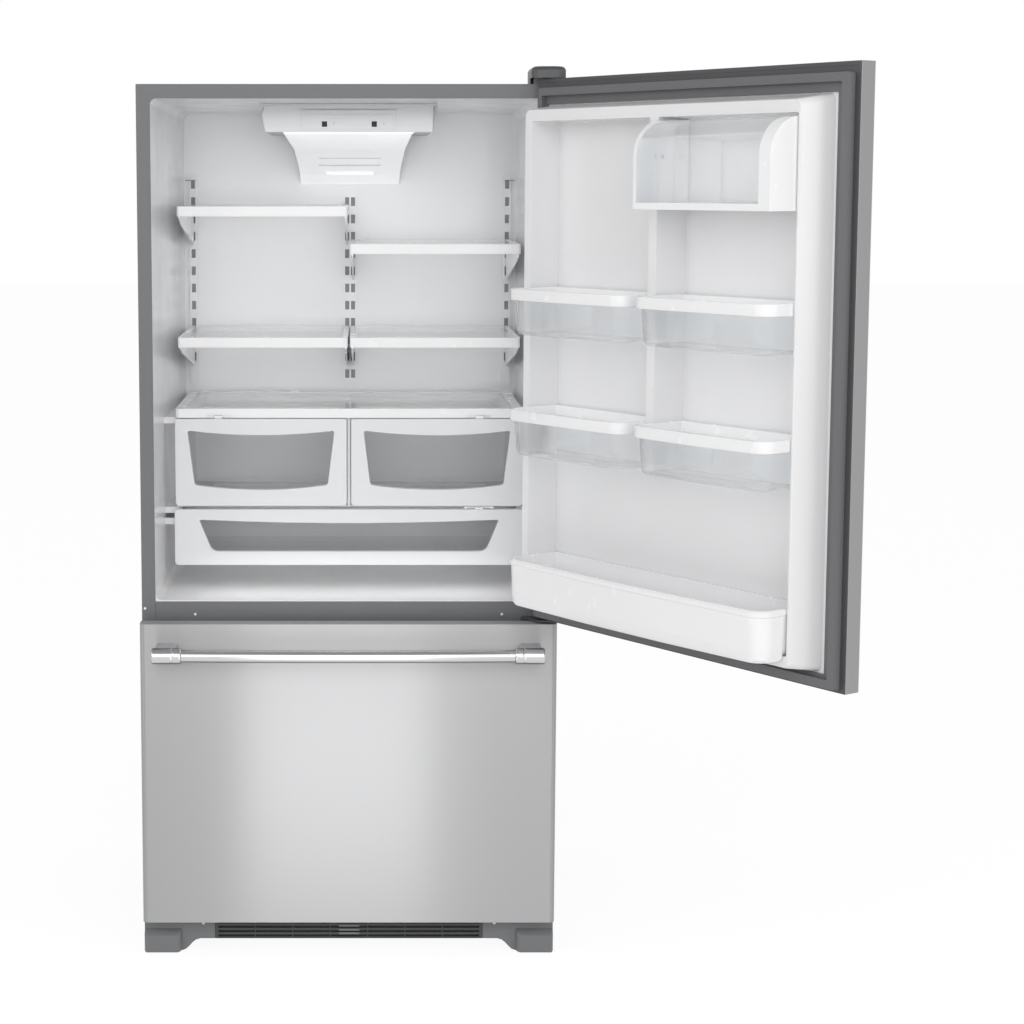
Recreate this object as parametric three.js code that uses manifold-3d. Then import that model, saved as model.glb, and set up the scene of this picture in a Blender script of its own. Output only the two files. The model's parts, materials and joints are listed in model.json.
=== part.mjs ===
// A bottom-freezer refrigerator of the 33 inch class, shown with its door open.
// Millimetres, +Z up. X runs to the right and Y to the back, seen from in front. The origin is on the
// floor, at the centre of the cabinet's footprint.
import * as THREE from "three";
import { mergeVertices } from "three/addons/utils/BufferGeometryUtils.js";
import Module from "manifold-3d";

const wasm = await Module();
wasm.setup();

// ---------------------------------------------------------------- driving dimensions
const seat = 0.3; // gap kept between pieces that rest on or in each other

// cabinet shell and its two openings, stacked from the floor up
const cabinetWidth = 829;
const cabinetDepth = 718;
const sheet = 1.5; // steel sheet
const sideFlange = 27.5; // front flange, turned in round the openings
const topFlange = 28;
const rearFlange = 15;
const shellBottom = 30; // lower edge of the side panels above the floor
const cornerRadius = 12; // of the openings
const freezerFloor = 108; // lower edge of the freezer compartment's opening
const freezerHeight = 547;
const railHeight = 66; // between the two openings
const foodHeight = 994; // of the food compartment's opening
const freezerCeiling = freezerFloor + freezerHeight;
const fridgeFloor = freezerCeiling + railHeight;
const openingTop = fridgeFloor + foodHeight;
const cabinetHeight = openingTop + topFlange;
const halfWidth = cabinetWidth / 2;
const openingHalf = halfWidth - sideFlange;
const flangeY = -cabinetDepth / 2;
const rearY = cabinetDepth / 2;
const behind = (distance) => flangeY + distance;

// liners
const linerWall = 2.5;
const backInsulation = 158; // behind the food compartment's back wall
const fridgeDepth = cabinetDepth - backInsulation; // from the front flange to the back wall
const fridgeBackY = behind(fridgeDepth);
const sideDraft = 20; // how far each side wall leans in from front to back
const ceilingDraft = 12;
const floorDraft = 6;
const stepDepth = 115; // how far the freezer's back steps forward over the machine compartment
const freezerDepth = fridgeDepth - stepDepth;
const stepHeight = 350; // top of that step above the floor
const ledgeHeight = 13; // moulded ledges that carry the cover and the pans
const trackHeight = 18; // moulded tracks that carry the drawer's frame

// crispers and deli pan, stacked from the floor of the food compartment up
const pansFront = 150; // behind the front flange
const pansBackGap = 30; // from a pan to the back wall
const pansSideGap = 29.5; // from a pan's front to the opening's side
const deliLift = 45.5;
const deliHeight = 116.5;
const pansGap = 7; // between the deli pan and the crispers
const crisperHeight = 180.7;
const coverGap = 2.3; // between the crispers and their cover
const coverThickness = 18.5;
const coverSideGap = 31;
const coverBackGap = 15;
const coverBorder = 26;
const coverLap = 12; // lip under the cover's glass
const deliBottom = fridgeFloor + deliLift;
const deliTop = deliBottom + deliHeight;
const crisperBottom = deliTop + pansGap;
const crisperTop = crisperBottom + crisperHeight;
const coverBottom = crisperTop + coverGap;
const coverTop = coverBottom + coverThickness;
const coverHalf = openingHalf - coverSideGap;
const pansHalf = openingHalf - pansSideGap;
const panFrameThickness = 3;
const panFrameBorder = 55;
const crisperGap = 4.6; // inner edge of a crisper's front from the middle
const panWall = 2.5;
const panInset = 8.5; // pan body inside its front
const panDrop = 16; // pan rim below the top of its front
const panTaper = 6;
const frontThickness = 14;
const windowDepth = 9.5;
const windowSide = 25.5; // from a crisper front's side to its window
const windowTop = 25;
const windowLow = 43;
const deliWindowSide = 50.5;
const deliWindowTop = 22;
const deliWindowLow = 29;
const railWidth = 6; // overlap of the ledges under the cover and the pan frame
const deliFlange = 11;
const tabWidth = 16;
const tabProud = 2.5;
const tabTravel = 30;
const tabInset = 89.5; // slider tabs inside the pans' outer edges
const tabFromMiddle = pansHalf - tabInset;

// shelf ladders and shelves, hung from the top of the food compartment
const ladderDrop = 149; // top of the ladders below the opening's upper edge
const ladderTop = openingTop - ladderDrop;
const ladderPitch = 38.1;
const ladderSlots = Math.floor((ladderTop - coverTop) / ladderPitch);
const slotWidth = 9;
const slotHeight = 19;
const slotDepth = 5;
const slotDrop = 17.5; // centre of the top slot below the ladder's top
const firstSlot = ladderTop - slotDrop;
const ladderProud = 6;
const ladderSideGap = 40; // side ladders from the opening's side
const ladderSide = openingHalf - ladderSideGap;
const ladderMiddle = 6.5; // the two middle rows of slots from the middle
const shelfHang = 44.5; // top of the highest shelf below the top slot
const shelfTop = firstSlot - shelfHang;
const shelfFront = 150; // behind the front flange
const shelfBackGap = 20;
const shelfSideGap = 37; // outer edge from the opening's side
const shelfSide = openingHalf - shelfSideGap;
const shelfGap = 2; // inner edge from the middle
const shelfRim = 20; // height of the front rim
const shelfEdge = 12; // height of the side and back edges
const shelfBorder = 16; // width of the frame
const glassLap = 6; // how far the glass lies on the frame
const glassThickness = 4;
const armThickness = 3;
const armDepth = 89; // lower corner of a bracket below the shelf's top
const armFront = 8; // front of a bracket behind the frame's front border
const hookReach = 3.5;
const hookHeight = 13;
const armRoom = 30; // least room between the lowest brackets and the crisper cover
const lowerDrop = Math.floor((shelfTop - armDepth - armRoom - coverTop) / ladderPitch);
const shelfDrops = { upper_left: 0, upper_right: 2, lower_left: lowerDrop, lower_right: lowerDrop }; // slots

// control housing and light cover
const housingTopHalf = 180;
const housingBottomHalf = 171;
const housingFront = 170;
const housingSetback = 30; // lower edge behind the upper edge
const housingDrop = 60; // lower edge below the opening's upper edge
const housingBottom = openingTop - housingDrop;
const housingPanelHalf = 96; // raised control panel
const housingPanelProud = 2.5;
const lightHalfFront = 135.5;
const lightHalfBack = 114.5;
const lightDrop = 106; // lowest point of the light cover below the housing
const lightNoseDrop = 65;
const lightSlopeStart = 160; // where the cover starts to fall, in front of the back wall
const lightNoseReach = 60;
const lightToeReach = 22;
const lightWall = 2.5;
const lightLow = housingBottom - seat - lightDrop;

// rail between the compartments
const railDepth = 35;

// door
const drawerTopDrop = 38; // top of the drawer's front below the food compartment's floor
const drawerTop = fridgeFloor - drawerTopDrop;
const doorGap = 8; // between the drawer's front and the door
const doorOverTop = 8; // door above the cabinet's top
const doorBottom = drawerTop + doorGap;
const doorTop = cabinetHeight + doorOverTop;
const doorProud = 56; // outer face in front of the flange
const doorThickness = 39;
const doorSheet = 1.5;
const doorRadius = 10;
const hingeFromSide = 21.5;
const hingeSetback = 30; // axis in front of the flange
const hingeX = halfWidth - hingeFromSide;
const hingeY = flangeY - hingeSetback;
const doorOpen = 125; // degrees, as photographed
const pinRadius = 4.5;
const pinClearance = 0.4;
const dykeHeight = 62; // inner wall above the door's inner plane
const dykeBaseHinge = 10;
const dykeBaseFree = 50.5;
const dykeBaseTop = 50;
const dykeBaseBottom = 28;
const dykeLean = 22; // how far the dyke's free side leans in
const dykeCrestInset = 10;
const dykeWallHinge = 20; // thickness of its crest
const dykeWallFree = 6;
const pocketHinge = 33; // pocket wall from the hinge axis
const pocketFreeEdge = dykeBaseFree + dykeLean + dykeWallFree; // pocket wall from the free edge
const pocketFree = hingeX + halfWidth - pocketFreeEdge;
const ribWidth = 21;
const ribOffset = 3.5; // towards the hinge
const ribCentre = (pocketHinge + pocketFree) / 2 - ribOffset;
const pocketRibLeft = ribCentre - ribWidth / 2;
const pocketRibRight = ribCentre + ribWidth / 2;
const pocketTopEdge = 83; // below the door's top
const pocketTop = doorTop - pocketTopEdge;
const pocketBottomEdge = 59;
const pocketBottom = doorBottom + pocketBottomEdge;
const pocketField = 8; // back of the pockets behind the inner plane
const pocketDraft = 2;
const pocketRadius = 4;
const gasketBase = 5;
const gasketOuter = 12.5; // from the door's edges
const gasketBulb = 15;

// door bins
const upperBinDrop = 404; // floor of a bin below the pockets' top
const lowerBinDrop = 634;
const binLevels = { upper: pocketTop - upperBinDrop, lower: pocketTop - lowerBinDrop };
const ribBottom = binLevels.lower - 4;
const binHeight = 88;
const binRim = 22;
const binReach = 125; // front of a bin from the inner plane
const binBow = 6;
const binRadius = 28;
const binWall = 2.5;
const rimWall = 4.5;
const binTaper = 4;
const bottomBinHeight = 80;
const bottomBinRadius = 32;
const bottomBinSkirt = 11; // how far its front hangs below the pocket's floor
const hangerProud = 3;

// dairy box
const dairyDrop = 163; // its floor below the pockets' top
const dairyFloor = pocketTop - dairyDrop;
const dairyFloorThickness = 12;
const dairyReach = 122;
const dairyArc = 64;
const dairyCheek = 93; // straight part of the cheeks
const dairyArcHeight = dairyFloor + dairyCheek;
const cheekHinge = 6.5;
const cheekFree = 28;
const lidWall = 2.5;
const lidEnd = 2; // thickness of the lid's end plates
const lidPin = 3;

// handles
const handleInset = 29.5; // from the drawer front's ends
const handleLength = cabinetWidth - 2 * handleInset;
const handleStandoff = 60; // bar axis from the face
const sleeveRadius = 15.7;
const sleeveLength = 59;
const barRadius = 12;
const barBow = 7;
const postWidth = 42;
const postHeight = 26;
const doorHandleInset = 82; // bar axis from the door's free edge
const doorHandleRise = 54; // lower end above the door's lower edge
const drawerHandleDrop = 51; // bar axis below the drawer's top

// base
const trayHeight = 40;
const traySheet = 2;
const footInset = 39.5;
const footX = halfWidth - footInset;
const footSetback = 41;
const footY = behind(footSetback);
const footRadius = 17;
const footHeight = 11;
const studRadius = 5;
const rollerRadius = 25;
const rollerWidth = 20;
const rollerInset = 42.5;
const rollerX = halfWidth - rollerInset;
const rollerSetback = 59; // axle in front of the cabinet's rear
const rollerY = rearY - rollerSetback;
const axleRadius = 5;
const runningClearance = 0.4;
const grilleInset = 142.5;
const grilleHalf = halfWidth - grilleInset;
const grilleBottom = 27;
const grilleHeight = 41;
const grilleTop = grilleBottom + grilleHeight;
const grilleFront = 35; // in front of the flange
const grilleSetback = 14;
const grilleDepth = 6;
const grilleBars = 4;
const coverFoot = 81; // width of the foot cover on the floor
const coverShoulder = 46;
const coverLift = 2;

// freezer drawer
const drawerBottom = grilleTop + 4;
const runnerSideGap = 25;
const runnerHalf = openingHalf - runnerSideGap;
const runnerHeight = 14;
const runnerWidth = 9;
const frameBackGap = 31; // runner frame in front of the freezer's lower back wall
const frameBack = behind(freezerDepth) - frameBackGap;
const lowerRunnerLift = 287; // above the freezer's floor
const lowerRunner = freezerFloor + lowerRunnerLift;
const upperRunnerDrop = 95; // below the freezer's ceiling
const upperRunner = freezerCeiling - upperRunnerDrop;
const basketWall = 2.5;
const basketTaper = 8;
const basketLift = 20;
const basketFloor = freezerFloor + basketLift;
const trayGap = 31; // tray floor above the lower runners
const trayFloor = lowerRunner + runnerHeight + trayGap;
const trayDepth = 270;
const linerReach = 12; // drawer inner panel's raised field
const fieldBorder = 25; // that field inside the freezer's opening

// cooling parts
const machineTop = stepHeight - 15;
const finCount = 8;
const tubeRows = 2;
const evaporatorSideGap = 107;
const evaporatorHalf = openingHalf - evaporatorSideGap;
const evaporatorDepth = 52;
const compressorSideGap = 224.5; // its centre from the cabinet's side
const compressorX = compressorSideGap - halfWidth;
const compressorFromRear = 114;
const compressorY = rearY - compressorFromRear;
const compressorRadius = 86;
const compressorHeight = 172;
const condenserSideGap = 84.5;
const condenserWidth = 240;
const condenserX = [halfWidth - condenserSideGap - condenserWidth, halfWidth - condenserSideGap];
const condenserFromRear = 209;
const condenserDepth = 55;
const condenserTop = 215;
const fanRadius = 58;
const fanBlades = 5;
const fanShaft = 24;
const louvrePitch = 30;
const louvreLow = 96;
const glandInset = 53;

// ---------------------------------------------------------------- derived planes
const innerHalf = halfWidth - sheet - seat; // room between the side panels
const wallHalf = (y) => openingHalf - (sideDraft * (y - flangeY)) / fridgeDepth;
const ceilingAt = (y) => openingTop - (ceilingDraft * (y - flangeY)) / fridgeDepth;
const floorAt = (y) => fridgeFloor + (floorDraft * (y - flangeY)) / fridgeDepth;

// ---------------------------------------------------------------- solids
const X = new THREE.Vector3(1, 0, 0);
const Y = new THREE.Vector3(0, 1, 0);
const Z = new THREE.Vector3(0, 0, 1);
const onYZ = new THREE.Matrix4().makeBasis(Y, Z, X);
const onXZ = new THREE.Matrix4().makeBasis(X, Z, Y.clone().negate());

// A closed geometry as a solid that can be joined and cut, with its faces turned outwards.
function solid(geometry) {
  const bare = geometry.clone();
  bare.deleteAttribute("normal");
  bare.deleteAttribute("uv");
  const merged = mergeVertices(bare, 1e-4);
  const corners = Array.from(merged.index.array);
  const kept = [];
  for (let i = 0; i < corners.length; i += 3) {
    const [a, b, c] = corners.slice(i, i + 3);
    if (a !== b && b !== c && c !== a) kept.push(a, b, c);
  }
  const make = (triangles) =>
    new wasm.Manifold(
      new wasm.Mesh({
        numProp: 3,
        vertProperties: merged.attributes.position.array,
        triVerts: Uint32Array.from(triangles),
      }),
    );
  const made = make(kept);
  return made.volume() > 0 ? made : make(kept.reverse());
}

const join = (...solids) => solids.flat().reduce((all, next) => all.add(next));
const cut = (body, ...tools) => tools.flat().reduce((left, tool) => left.subtract(tool), body);
const repeat = (count, make) => Array.from({ length: count }, (_, i) => make(i));
const mirrored = (make) => [make(-1), make(1)];
const span = (a, b) => [Math.min(a, b), Math.max(a, b)];

function box([x0, x1], [y0, y1], [z0, z1]) {
  const geometry = new THREE.BoxGeometry(x1 - x0, y1 - y0, z1 - z0);
  return solid(geometry.translate((x0 + x1) / 2, (y0 + y1) / 2, (z0 + z1) / 2));
}

function extrusion(outline, [from, to], steps) {
  return new THREE.ExtrudeGeometry(outline, {
    depth: to - from,
    bevelEnabled: false,
    curveSegments: steps,
  });
}

// Outlines drawn in (y, z), (x, z) or (x, y), carried along the third axis.
const alongX = (outline, range, steps = 3) =>
  solid(extrusion(outline, range, steps).applyMatrix4(onYZ).translate(range[0], 0, 0));
const alongY = (outline, range, steps = 3) =>
  solid(extrusion(outline, range, steps).applyMatrix4(onXZ).translate(0, range[1], 0));
const alongZ = (outline, range, steps = 3) =>
  solid(extrusion(outline, range, steps).translate(0, 0, range[0]));

// A rectangle whose corners, from the lower left round to the upper left, may be rounded.
function rectangle([x0, x1], [y0, y1], radii = 0) {
  const [a, b, c, d] = Array.isArray(radii) ? radii : [radii, radii, radii, radii];
  const shape = new THREE.Shape();
  shape.moveTo(x0 + a, y0);
  shape.lineTo(x1 - b, y0);
  if (b) shape.absarc(x1 - b, y0 + b, b, -Math.PI / 2, 0);
  shape.lineTo(x1, y1 - c);
  if (c) shape.absarc(x1 - c, y1 - c, c, 0, Math.PI / 2);
  shape.lineTo(x0 + d, y1);
  if (d) shape.absarc(x0 + d, y1 - d, d, Math.PI / 2, Math.PI);
  shape.lineTo(x0, y0 + a);
  if (a) shape.absarc(x0 + a, y0 + a, a, Math.PI, Math.PI * 1.5);
  return shape;
}

const polygon = (points) => new THREE.Shape(points.map(([x, y]) => new THREE.Vector2(x, y)));

// One ring of a loft: an outline's points, each put in space by place(u, v).
function ring(outline, place, steps = 3) {
  const points = outline.getPoints(steps);
  if (points[0].distanceTo(points.at(-1)) < 1e-6) points.pop();
  return points.map((p) => place(p.x, p.y));
}

// A closed skin over rings that all have the same number of points and flat convex ends.
function loft(rings) {
  const count = rings[0].length;
  const corners = [];
  for (let i = 0; i + 1 < rings.length; i++)
    for (let j = 0; j < count; j++) {
      const [a, b] = [i * count + j, i * count + ((j + 1) % count)];
      corners.push(a, b, b + count, a, b + count, a + count);
    }
  const last = (rings.length - 1) * count;
  for (let j = 1; j + 1 < count; j++) {
    corners.push(0, j + 1, j);
    corners.push(last, last + j, last + j + 1);
  }
  const positions = rings.flat().flatMap((p) => p.toArray());
  const geometry = new THREE.BufferGeometry();
  geometry.setAttribute("position", new THREE.Float32BufferAttribute(positions, 3));
  return solid(geometry.setIndex(corners));
}

const flat = (z) => (x, y) => new THREE.Vector3(x, y, z);
const upright = (y) => (x, z) => new THREE.Vector3(x, y, z);

// A round bar along x, y or z from one coordinate to another, through a centre on the other two axes.
function rod(axis, radius, [from, to], centre, sides = 20) {
  const geometry = new THREE.CylinderGeometry(radius, radius, to - from, sides);
  geometry.translate(0, (from + to) / 2, 0);
  if (axis === "x") geometry.rotateZ(-Math.PI / 2);
  if (axis === "z") geometry.rotateX(Math.PI / 2);
  return solid(geometry.translate(...centre));
}

// A solid of revolution about a vertical axis, from [radius, height] pairs.
function revolve(profile, sides, [x, y, z] = [0, 0, 0]) {
  const points = profile.map(([r, h]) => new THREE.Vector2(r, h));
  const geometry = new THREE.LatheGeometry(points, sides);
  return solid(geometry.rotateX(Math.PI / 2).translate(x, y, z));
}

function frameOf(outer, inner, range, direction, steps = 3) {
  const [from, to] = range;
  return cut(direction(outer, range, steps), direction(inner, [from - 1, to + 1], steps));
}

// ---------------------------------------------------------------- finishes and pieces
const finishes = {
  cabinetGrey: { color: 0x77787a, roughness: 0.45, metalness: 0.1 },
  stainless: { color: 0xc9cbcd, roughness: 0.32, metalness: 0.9 },
  linerWhite: { color: 0xe6e7e9, roughness: 0.35, metalness: 0 },
  rimWhite: { color: 0xf2f2f3, roughness: 0.3, metalness: 0 },
  housingGrey: { color: 0xd3d4d6, roughness: 0.45, metalness: 0 },
  lens: { color: 0xf4f5f6, roughness: 0.5, metalness: 0 },
  clear: { color: 0xdfe6e8, roughness: 0.08, metalness: 0, transparent: true, opacity: 0.35 },
  gasket: { color: 0x707173, roughness: 0.7, metalness: 0 },
  hingeGrey: { color: 0x4b4c4e, roughness: 0.5, metalness: 0.2 },
  zincSteel: { color: 0x9a9da0, roughness: 0.4, metalness: 0.8 },
  baseGrey: { color: 0x6a6b6d, roughness: 0.55, metalness: 0 },
  grilleBlack: { color: 0x2b2b2c, roughness: 0.6, metalness: 0 },
  rubber: { color: 0x202021, roughness: 0.8, metalness: 0 },
  machineBlack: { color: 0x1b1b1d, roughness: 0.5, metalness: 0.3 },
  finAluminium: { color: 0xb4b8bb, roughness: 0.4, metalness: 0.85 },
  fanPlastic: { color: 0x3a3b3d, roughness: 0.5, metalness: 0 },
  basketWhite: { color: 0xe9ebec, roughness: 0.3, metalness: 0 },
};

function addPiece(group, name, shape, finish) {
  const { numProp, vertProperties, triVerts } = shape.getMesh();
  const geometry = new THREE.BufferGeometry();
  const points = vertProperties.filter((_, i) => i % numProp < 3);
  geometry.setAttribute("position", new THREE.BufferAttribute(points, 3));
  geometry.setIndex(Array.from(triVerts));
  geometry.computeVertexNormals();
  const mesh = new THREE.Mesh(geometry, new THREE.MeshStandardMaterial(finishes[finish]));
  mesh.name = name;
  group.add(mesh);
  return mesh;
}

// ---------------------------------------------------------------- cabinet
function cabinetShell() {
  const outer = rectangle([-halfWidth, halfWidth], [shellBottom, cabinetHeight], [0, 0, 2, 2]);
  const inner = rectangle([sheet - halfWidth, halfWidth - sheet], [0, cabinetHeight - sheet]);
  const frontOpening = rectangle(
    [-openingHalf, openingHalf],
    [0, openingTop],
    [0, 0, cornerRadius, cornerRadius],
  );
  const rearHalf = halfWidth - rearFlange;
  const rearOpening = rectangle([-rearHalf, rearHalf], [0, cabinetHeight - rearFlange]);
  return cut(
    alongY(outer, [flangeY, rearY]),
    alongY(inner, [flangeY + sheet, rearY - sheet]),
    alongY(frontOpening, [flangeY - 1, flangeY + sheet + 1]),
    alongY(rearOpening, [rearY - sheet - 1, rearY + 1]),
  );
}

// The rear sheet sits inside the shell's rear flange and is stiffened by pressed ribs.
function backPanel() {
  const y1 = rearY - sheet - seat;
  const top = cabinetHeight - sheet - seat;
  const ribPitch = innerHalf / 2.75;
  const ribs = repeat(5, (i) => {
    const x = (i - 2) * ribPitch;
    const rib = [
      [x - 22, y1 - 0.5],
      [x + 22, y1 - 0.5],
      [x + 14, y1 + sheet],
      [x - 14, y1 + sheet],
    ];
    return alongZ(polygon(rib), [machineTop + 60, top - 60]);
  });
  return join(box([-innerHalf, innerHalf], [y1 - sheet, y1], [machineTop, top]), ribs);
}

// ---------------------------------------------------------------- liners
const linerFront = behind(sheet + seat);

function fridgeRing(y, grow, radius) {
  const half = wallHalf(y) + grow;
  return ring(rectangle([-half, half], [floorAt(y) - grow, ceilingAt(y) + grow], radius), upright(y));
}

function fridgeLiner() {
  const outer = loft([
    fridgeRing(linerFront, linerWall, cornerRadius + linerWall),
    fridgeRing(fridgeBackY + linerWall, linerWall, cornerRadius + 10),
  ]);
  const inner = loft([
    fridgeRing(linerFront - 1, 0, cornerRadius),
    fridgeRing(fridgeBackY, 0, cornerRadius + 8),
  ]);
  const lip = frameOf(
    rectangle([-innerHalf, innerHalf], [fridgeFloor - linerWall, cabinetHeight - sheet - seat]),
    rectangle([-openingHalf, openingHalf], [fridgeFloor, openingTop], cornerRadius),
    [linerFront, linerFront + linerWall],
    alongY,
  );
  const ladders = [-ladderSide, 0, ladderSide].map((x) => {
    const half = x ? slotWidth : ladderMiddle + slotWidth;
    const bottom = firstSlot - ladderPitch * (ladderSlots - 0.4);
    const top = x ? ladderTop : lightLow - 2;
    return box([x - half, x + half], [fridgeBackY - ladderProud, fridgeBackY + 1], [bottom, top]);
  });
  const columns = [-ladderSide, -ladderMiddle, ladderMiddle, ladderSide];
  const slots = columns.flatMap((x) =>
    repeat(ladderSlots - 1, (i) => {
      const z = firstSlot - (i + (Math.abs(x) === ladderMiddle ? 1 : 0)) * ladderPitch;
      return box(
        [x - slotWidth / 2, x + slotWidth / 2],
        [fridgeBackY - ladderProud - 1, fridgeBackY - ladderProud + slotDepth],
        [z - slotHeight / 2, z + slotHeight / 2],
      );
    }),
  );
  // Moulded ledges on both side walls carry the crisper cover, the pan frame and the deli pan.
  const ledges = mirrored((side) =>
    [
      [coverHalf - railWidth, coverBottom - seat],
      [coverHalf - railWidth, panFrameBottom - seat],
      [deliRailHalf, deliRailTop],
    ].map(([near, top]) => {
      const x = span(side * near, side * (openingHalf + linerWall));
      return box(x, [behindPanFronts, fridgeBackY], [top - ledgeHeight, top]).intersect(outer);
    }),
  );
  return join(cut(join(cut(outer, inner), lip, ladders), ...slots), ...ledges);
}

const behindPanFronts = behind(pansFront + frontThickness + 2);
const panFrameBottom = crisperBottom - seat - panFrameThickness;
const panLip = 4; // thickness of the deli pan's lips
const deliRailTop = deliTop - panDrop - panLip - seat;
const deliRailHalf = pansHalf - panInset + 3;

// The freezer liner steps forward over the machine compartment and has a moulded runner on each side.
function freezerProfile(grow) {
  const front = grow ? linerFront : linerFront - 1;
  const back = fridgeBackY + grow;
  const lowBack = behind(freezerDepth) + grow;
  return polygon([
    [front, freezerFloor - grow],
    [lowBack, freezerFloor - grow],
    [lowBack, stepHeight - grow],
    [back, stepHeight - grow],
    [back, freezerCeiling + grow],
    [front, freezerCeiling + grow],
  ]);
}

function freezerLiner() {
  const half = openingHalf;
  const tub = cut(
    alongX(freezerProfile(linerWall), [-half - linerWall, half + linerWall]),
    alongX(freezerProfile(0), [-half, half]),
  );
  const lip = frameOf(
    rectangle([-innerHalf, innerHalf], [baseRailTop + seat, freezerCeiling + linerWall]),
    rectangle([-half, half], [freezerFloor, freezerCeiling], cornerRadius),
    [linerFront, linerFront + linerWall],
    alongY,
  );
  const tracks = mirrored((side) =>
    box(
      span(side * (runnerHalf - runnerWidth), side * (half + 1)),
      [behind(25), behind(freezerDepth) + 1],
      [lowerRunner - trackHeight, lowerRunner - seat],
    ),
  );
  return join(tub, lip, tracks);
}

// ---------------------------------------------------------------- rail between the compartments
const railTop = fridgeFloor - linerWall - seat;
const railBottom = freezerCeiling + linerWall + seat;

function centreRail() {
  const face = box(
    [seat - openingHalf, openingHalf - seat],
    [flangeY, linerFront],
    [railBottom, railTop],
  );
  const channel = box([-innerHalf, innerHalf], [linerFront, behind(railDepth)], [railBottom, railTop]);
  const hollow = box(
    [-innerHalf - 1, innerHalf + 1],
    [linerFront + sheet, behind(railDepth) + 1],
    [railBottom + sheet, railTop - sheet],
  );
  return cut(join(face, channel), hollow);
}

// ---------------------------------------------------------------- controls and light
// The housing hangs from the ceiling: a sloping front with a raised panel, hollow and open above.
function controlHousing() {
  const front = behind(housingFront);
  const lowFront = front + housingSetback;
  const back = fridgeBackY - seat;
  const wall = linerWall + 3;
  const section = (y, low, grow) =>
    ring(
      polygon([
        [-housingBottomHalf - grow, low],
        [housingBottomHalf + grow, low],
        [housingTopHalf + grow, ceilingAt(y) - seat],
        [-housingTopHalf - grow, ceilingAt(y) - seat],
      ]),
      upright(y),
    );
  const brow = 5; // height of the upright edge above the slope
  const body = loft([
    section(front, ceilingAt(front) - seat - brow, 0),
    section(lowFront, housingBottom, 0),
    section(back, housingBottom, 0),
  ]);
  const inside = loft([
    section(lowFront + wall, housingBottom + wall, -wall),
    section(back - wall, housingBottom + wall, -wall),
  ]);
  const roof = box(
    [-housingTopHalf, housingTopHalf],
    [lowFront + wall, back - wall],
    [ceilingAt(back) - 2 * seat, openingTop],
  );
  const panel = alongX(
    polygon([
      [front + 4 - housingPanelProud, ceilingAt(front) - brow - 8],
      [lowFront - 3 - housingPanelProud, housingBottom + 6],
      [lowFront + 3, housingBottom + 6],
      [front + 12, ceilingAt(front) - brow - 8],
    ]),
    [-housingPanelHalf, housingPanelHalf],
  );
  return cut(join(body, panel), join(inside, roof));
}

// The light cover slopes down from the housing to a rounded nose on the back wall.
function lightCover() {
  const front = behind(housingFront + housingSetback + 6);
  const back = fridgeBackY - seat;
  const top = housingBottom - seat;
  const edge = 6; // how far its lower corners lean in
  const stations = [
    [front, 3],
    [back - lightSlopeStart, lightNoseDrop / 2],
    [back - lightNoseReach, lightNoseDrop],
    [back - lightToeReach, lightNoseDrop + 18],
    [back, lightDrop],
  ];
  const section = (y, drop, shrink) => {
    const t = (y - front) / (back - front);
    const half = lightHalfFront + (lightHalfBack - lightHalfFront) * t - shrink;
    return ring(
      polygon([
        [-half + edge, top - drop + shrink],
        [half - edge, top - drop + shrink],
        [half, top + (shrink ? 1 : 0)],
        [-half, top + (shrink ? 1 : 0)],
      ]),
      upright(y),
    );
  };
  const outer = loft(stations.map(([y, drop]) => section(y, drop, 0)));
  const inner = loft(
    stations
      .slice(1)
      .map(([y, drop], i, all) => section(i + 1 === all.length ? y - lightWall : y, drop, lightWall)),
  );
  const ribs = [0, 1].map((i) => {
    const y = back - lightNoseReach + 15 + 14 * i;
    const z = top - lightNoseDrop - 4 - 14 * i;
    return box([-52, 52], [y, y + 11], [z - 2, z + 20]);
  });
  return cut(join(outer, ...ribs), inner);
}

// ---------------------------------------------------------------- shelves
function shelfFrame(side, drop) {
  const top = shelfTop - drop * ladderPitch;
  const [x0, x1] = span(side * shelfGap, side * shelfSide);
  const [y0, y1] = [behind(shelfFront), fridgeBackY - shelfBackGap];
  const glassTop = top - glassThickness - seat;
  const frame = cut(
    alongZ(rectangle([x0, x1], [y0, y1], 6), [top - shelfRim, top]),
    box([x0 - 1, x1 + 1], [y0 + shelfBorder, y1 + 1], [top - shelfRim - 1, top - shelfEdge]),
    box(
      [x0 + shelfBorder - glassLap, x1 - shelfBorder + glassLap],
      [y0 + shelfBorder - glassLap, y1 - shelfBorder + glassLap],
      [glassTop, top + 1],
    ),
    box(
      [x0 + shelfBorder, x1 - shelfBorder],
      [y0 + shelfBorder, y1 - shelfBorder],
      [top - shelfRim - 1, top + 1],
    ),
  );
  const armBack = fridgeBackY - ladderProud - seat;
  const arms = [ladderSide, ladderMiddle].flatMap((from) => {
    const x = side * from;
    const width = [x - armThickness / 2, x + armThickness / 2];
    const armStart = y0 + shelfBorder + armFront;
    const plate = polygon([
      [armStart, top - shelfEdge + 4],
      [armStart, top - shelfEdge - 12],
      [armStart + 52, top - shelfEdge - 26],
      [armBack - 60, top - armDepth + 10],
      [armBack - 8, top - armDepth],
      [armBack, top - armDepth + 6],
      [armBack, top - shelfEdge + 4],
    ]);
    const hooks = [2, 3].map((slot) => {
      const z = firstSlot - ladderPitch * (slot + drop);
      return box(width, [armBack - 4, armBack + hookReach], [z - hookHeight / 2, z + hookHeight / 2]);
    });
    return [alongX(plate, width), ...hooks];
  });
  return join(frame, ...arms);
}

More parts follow.
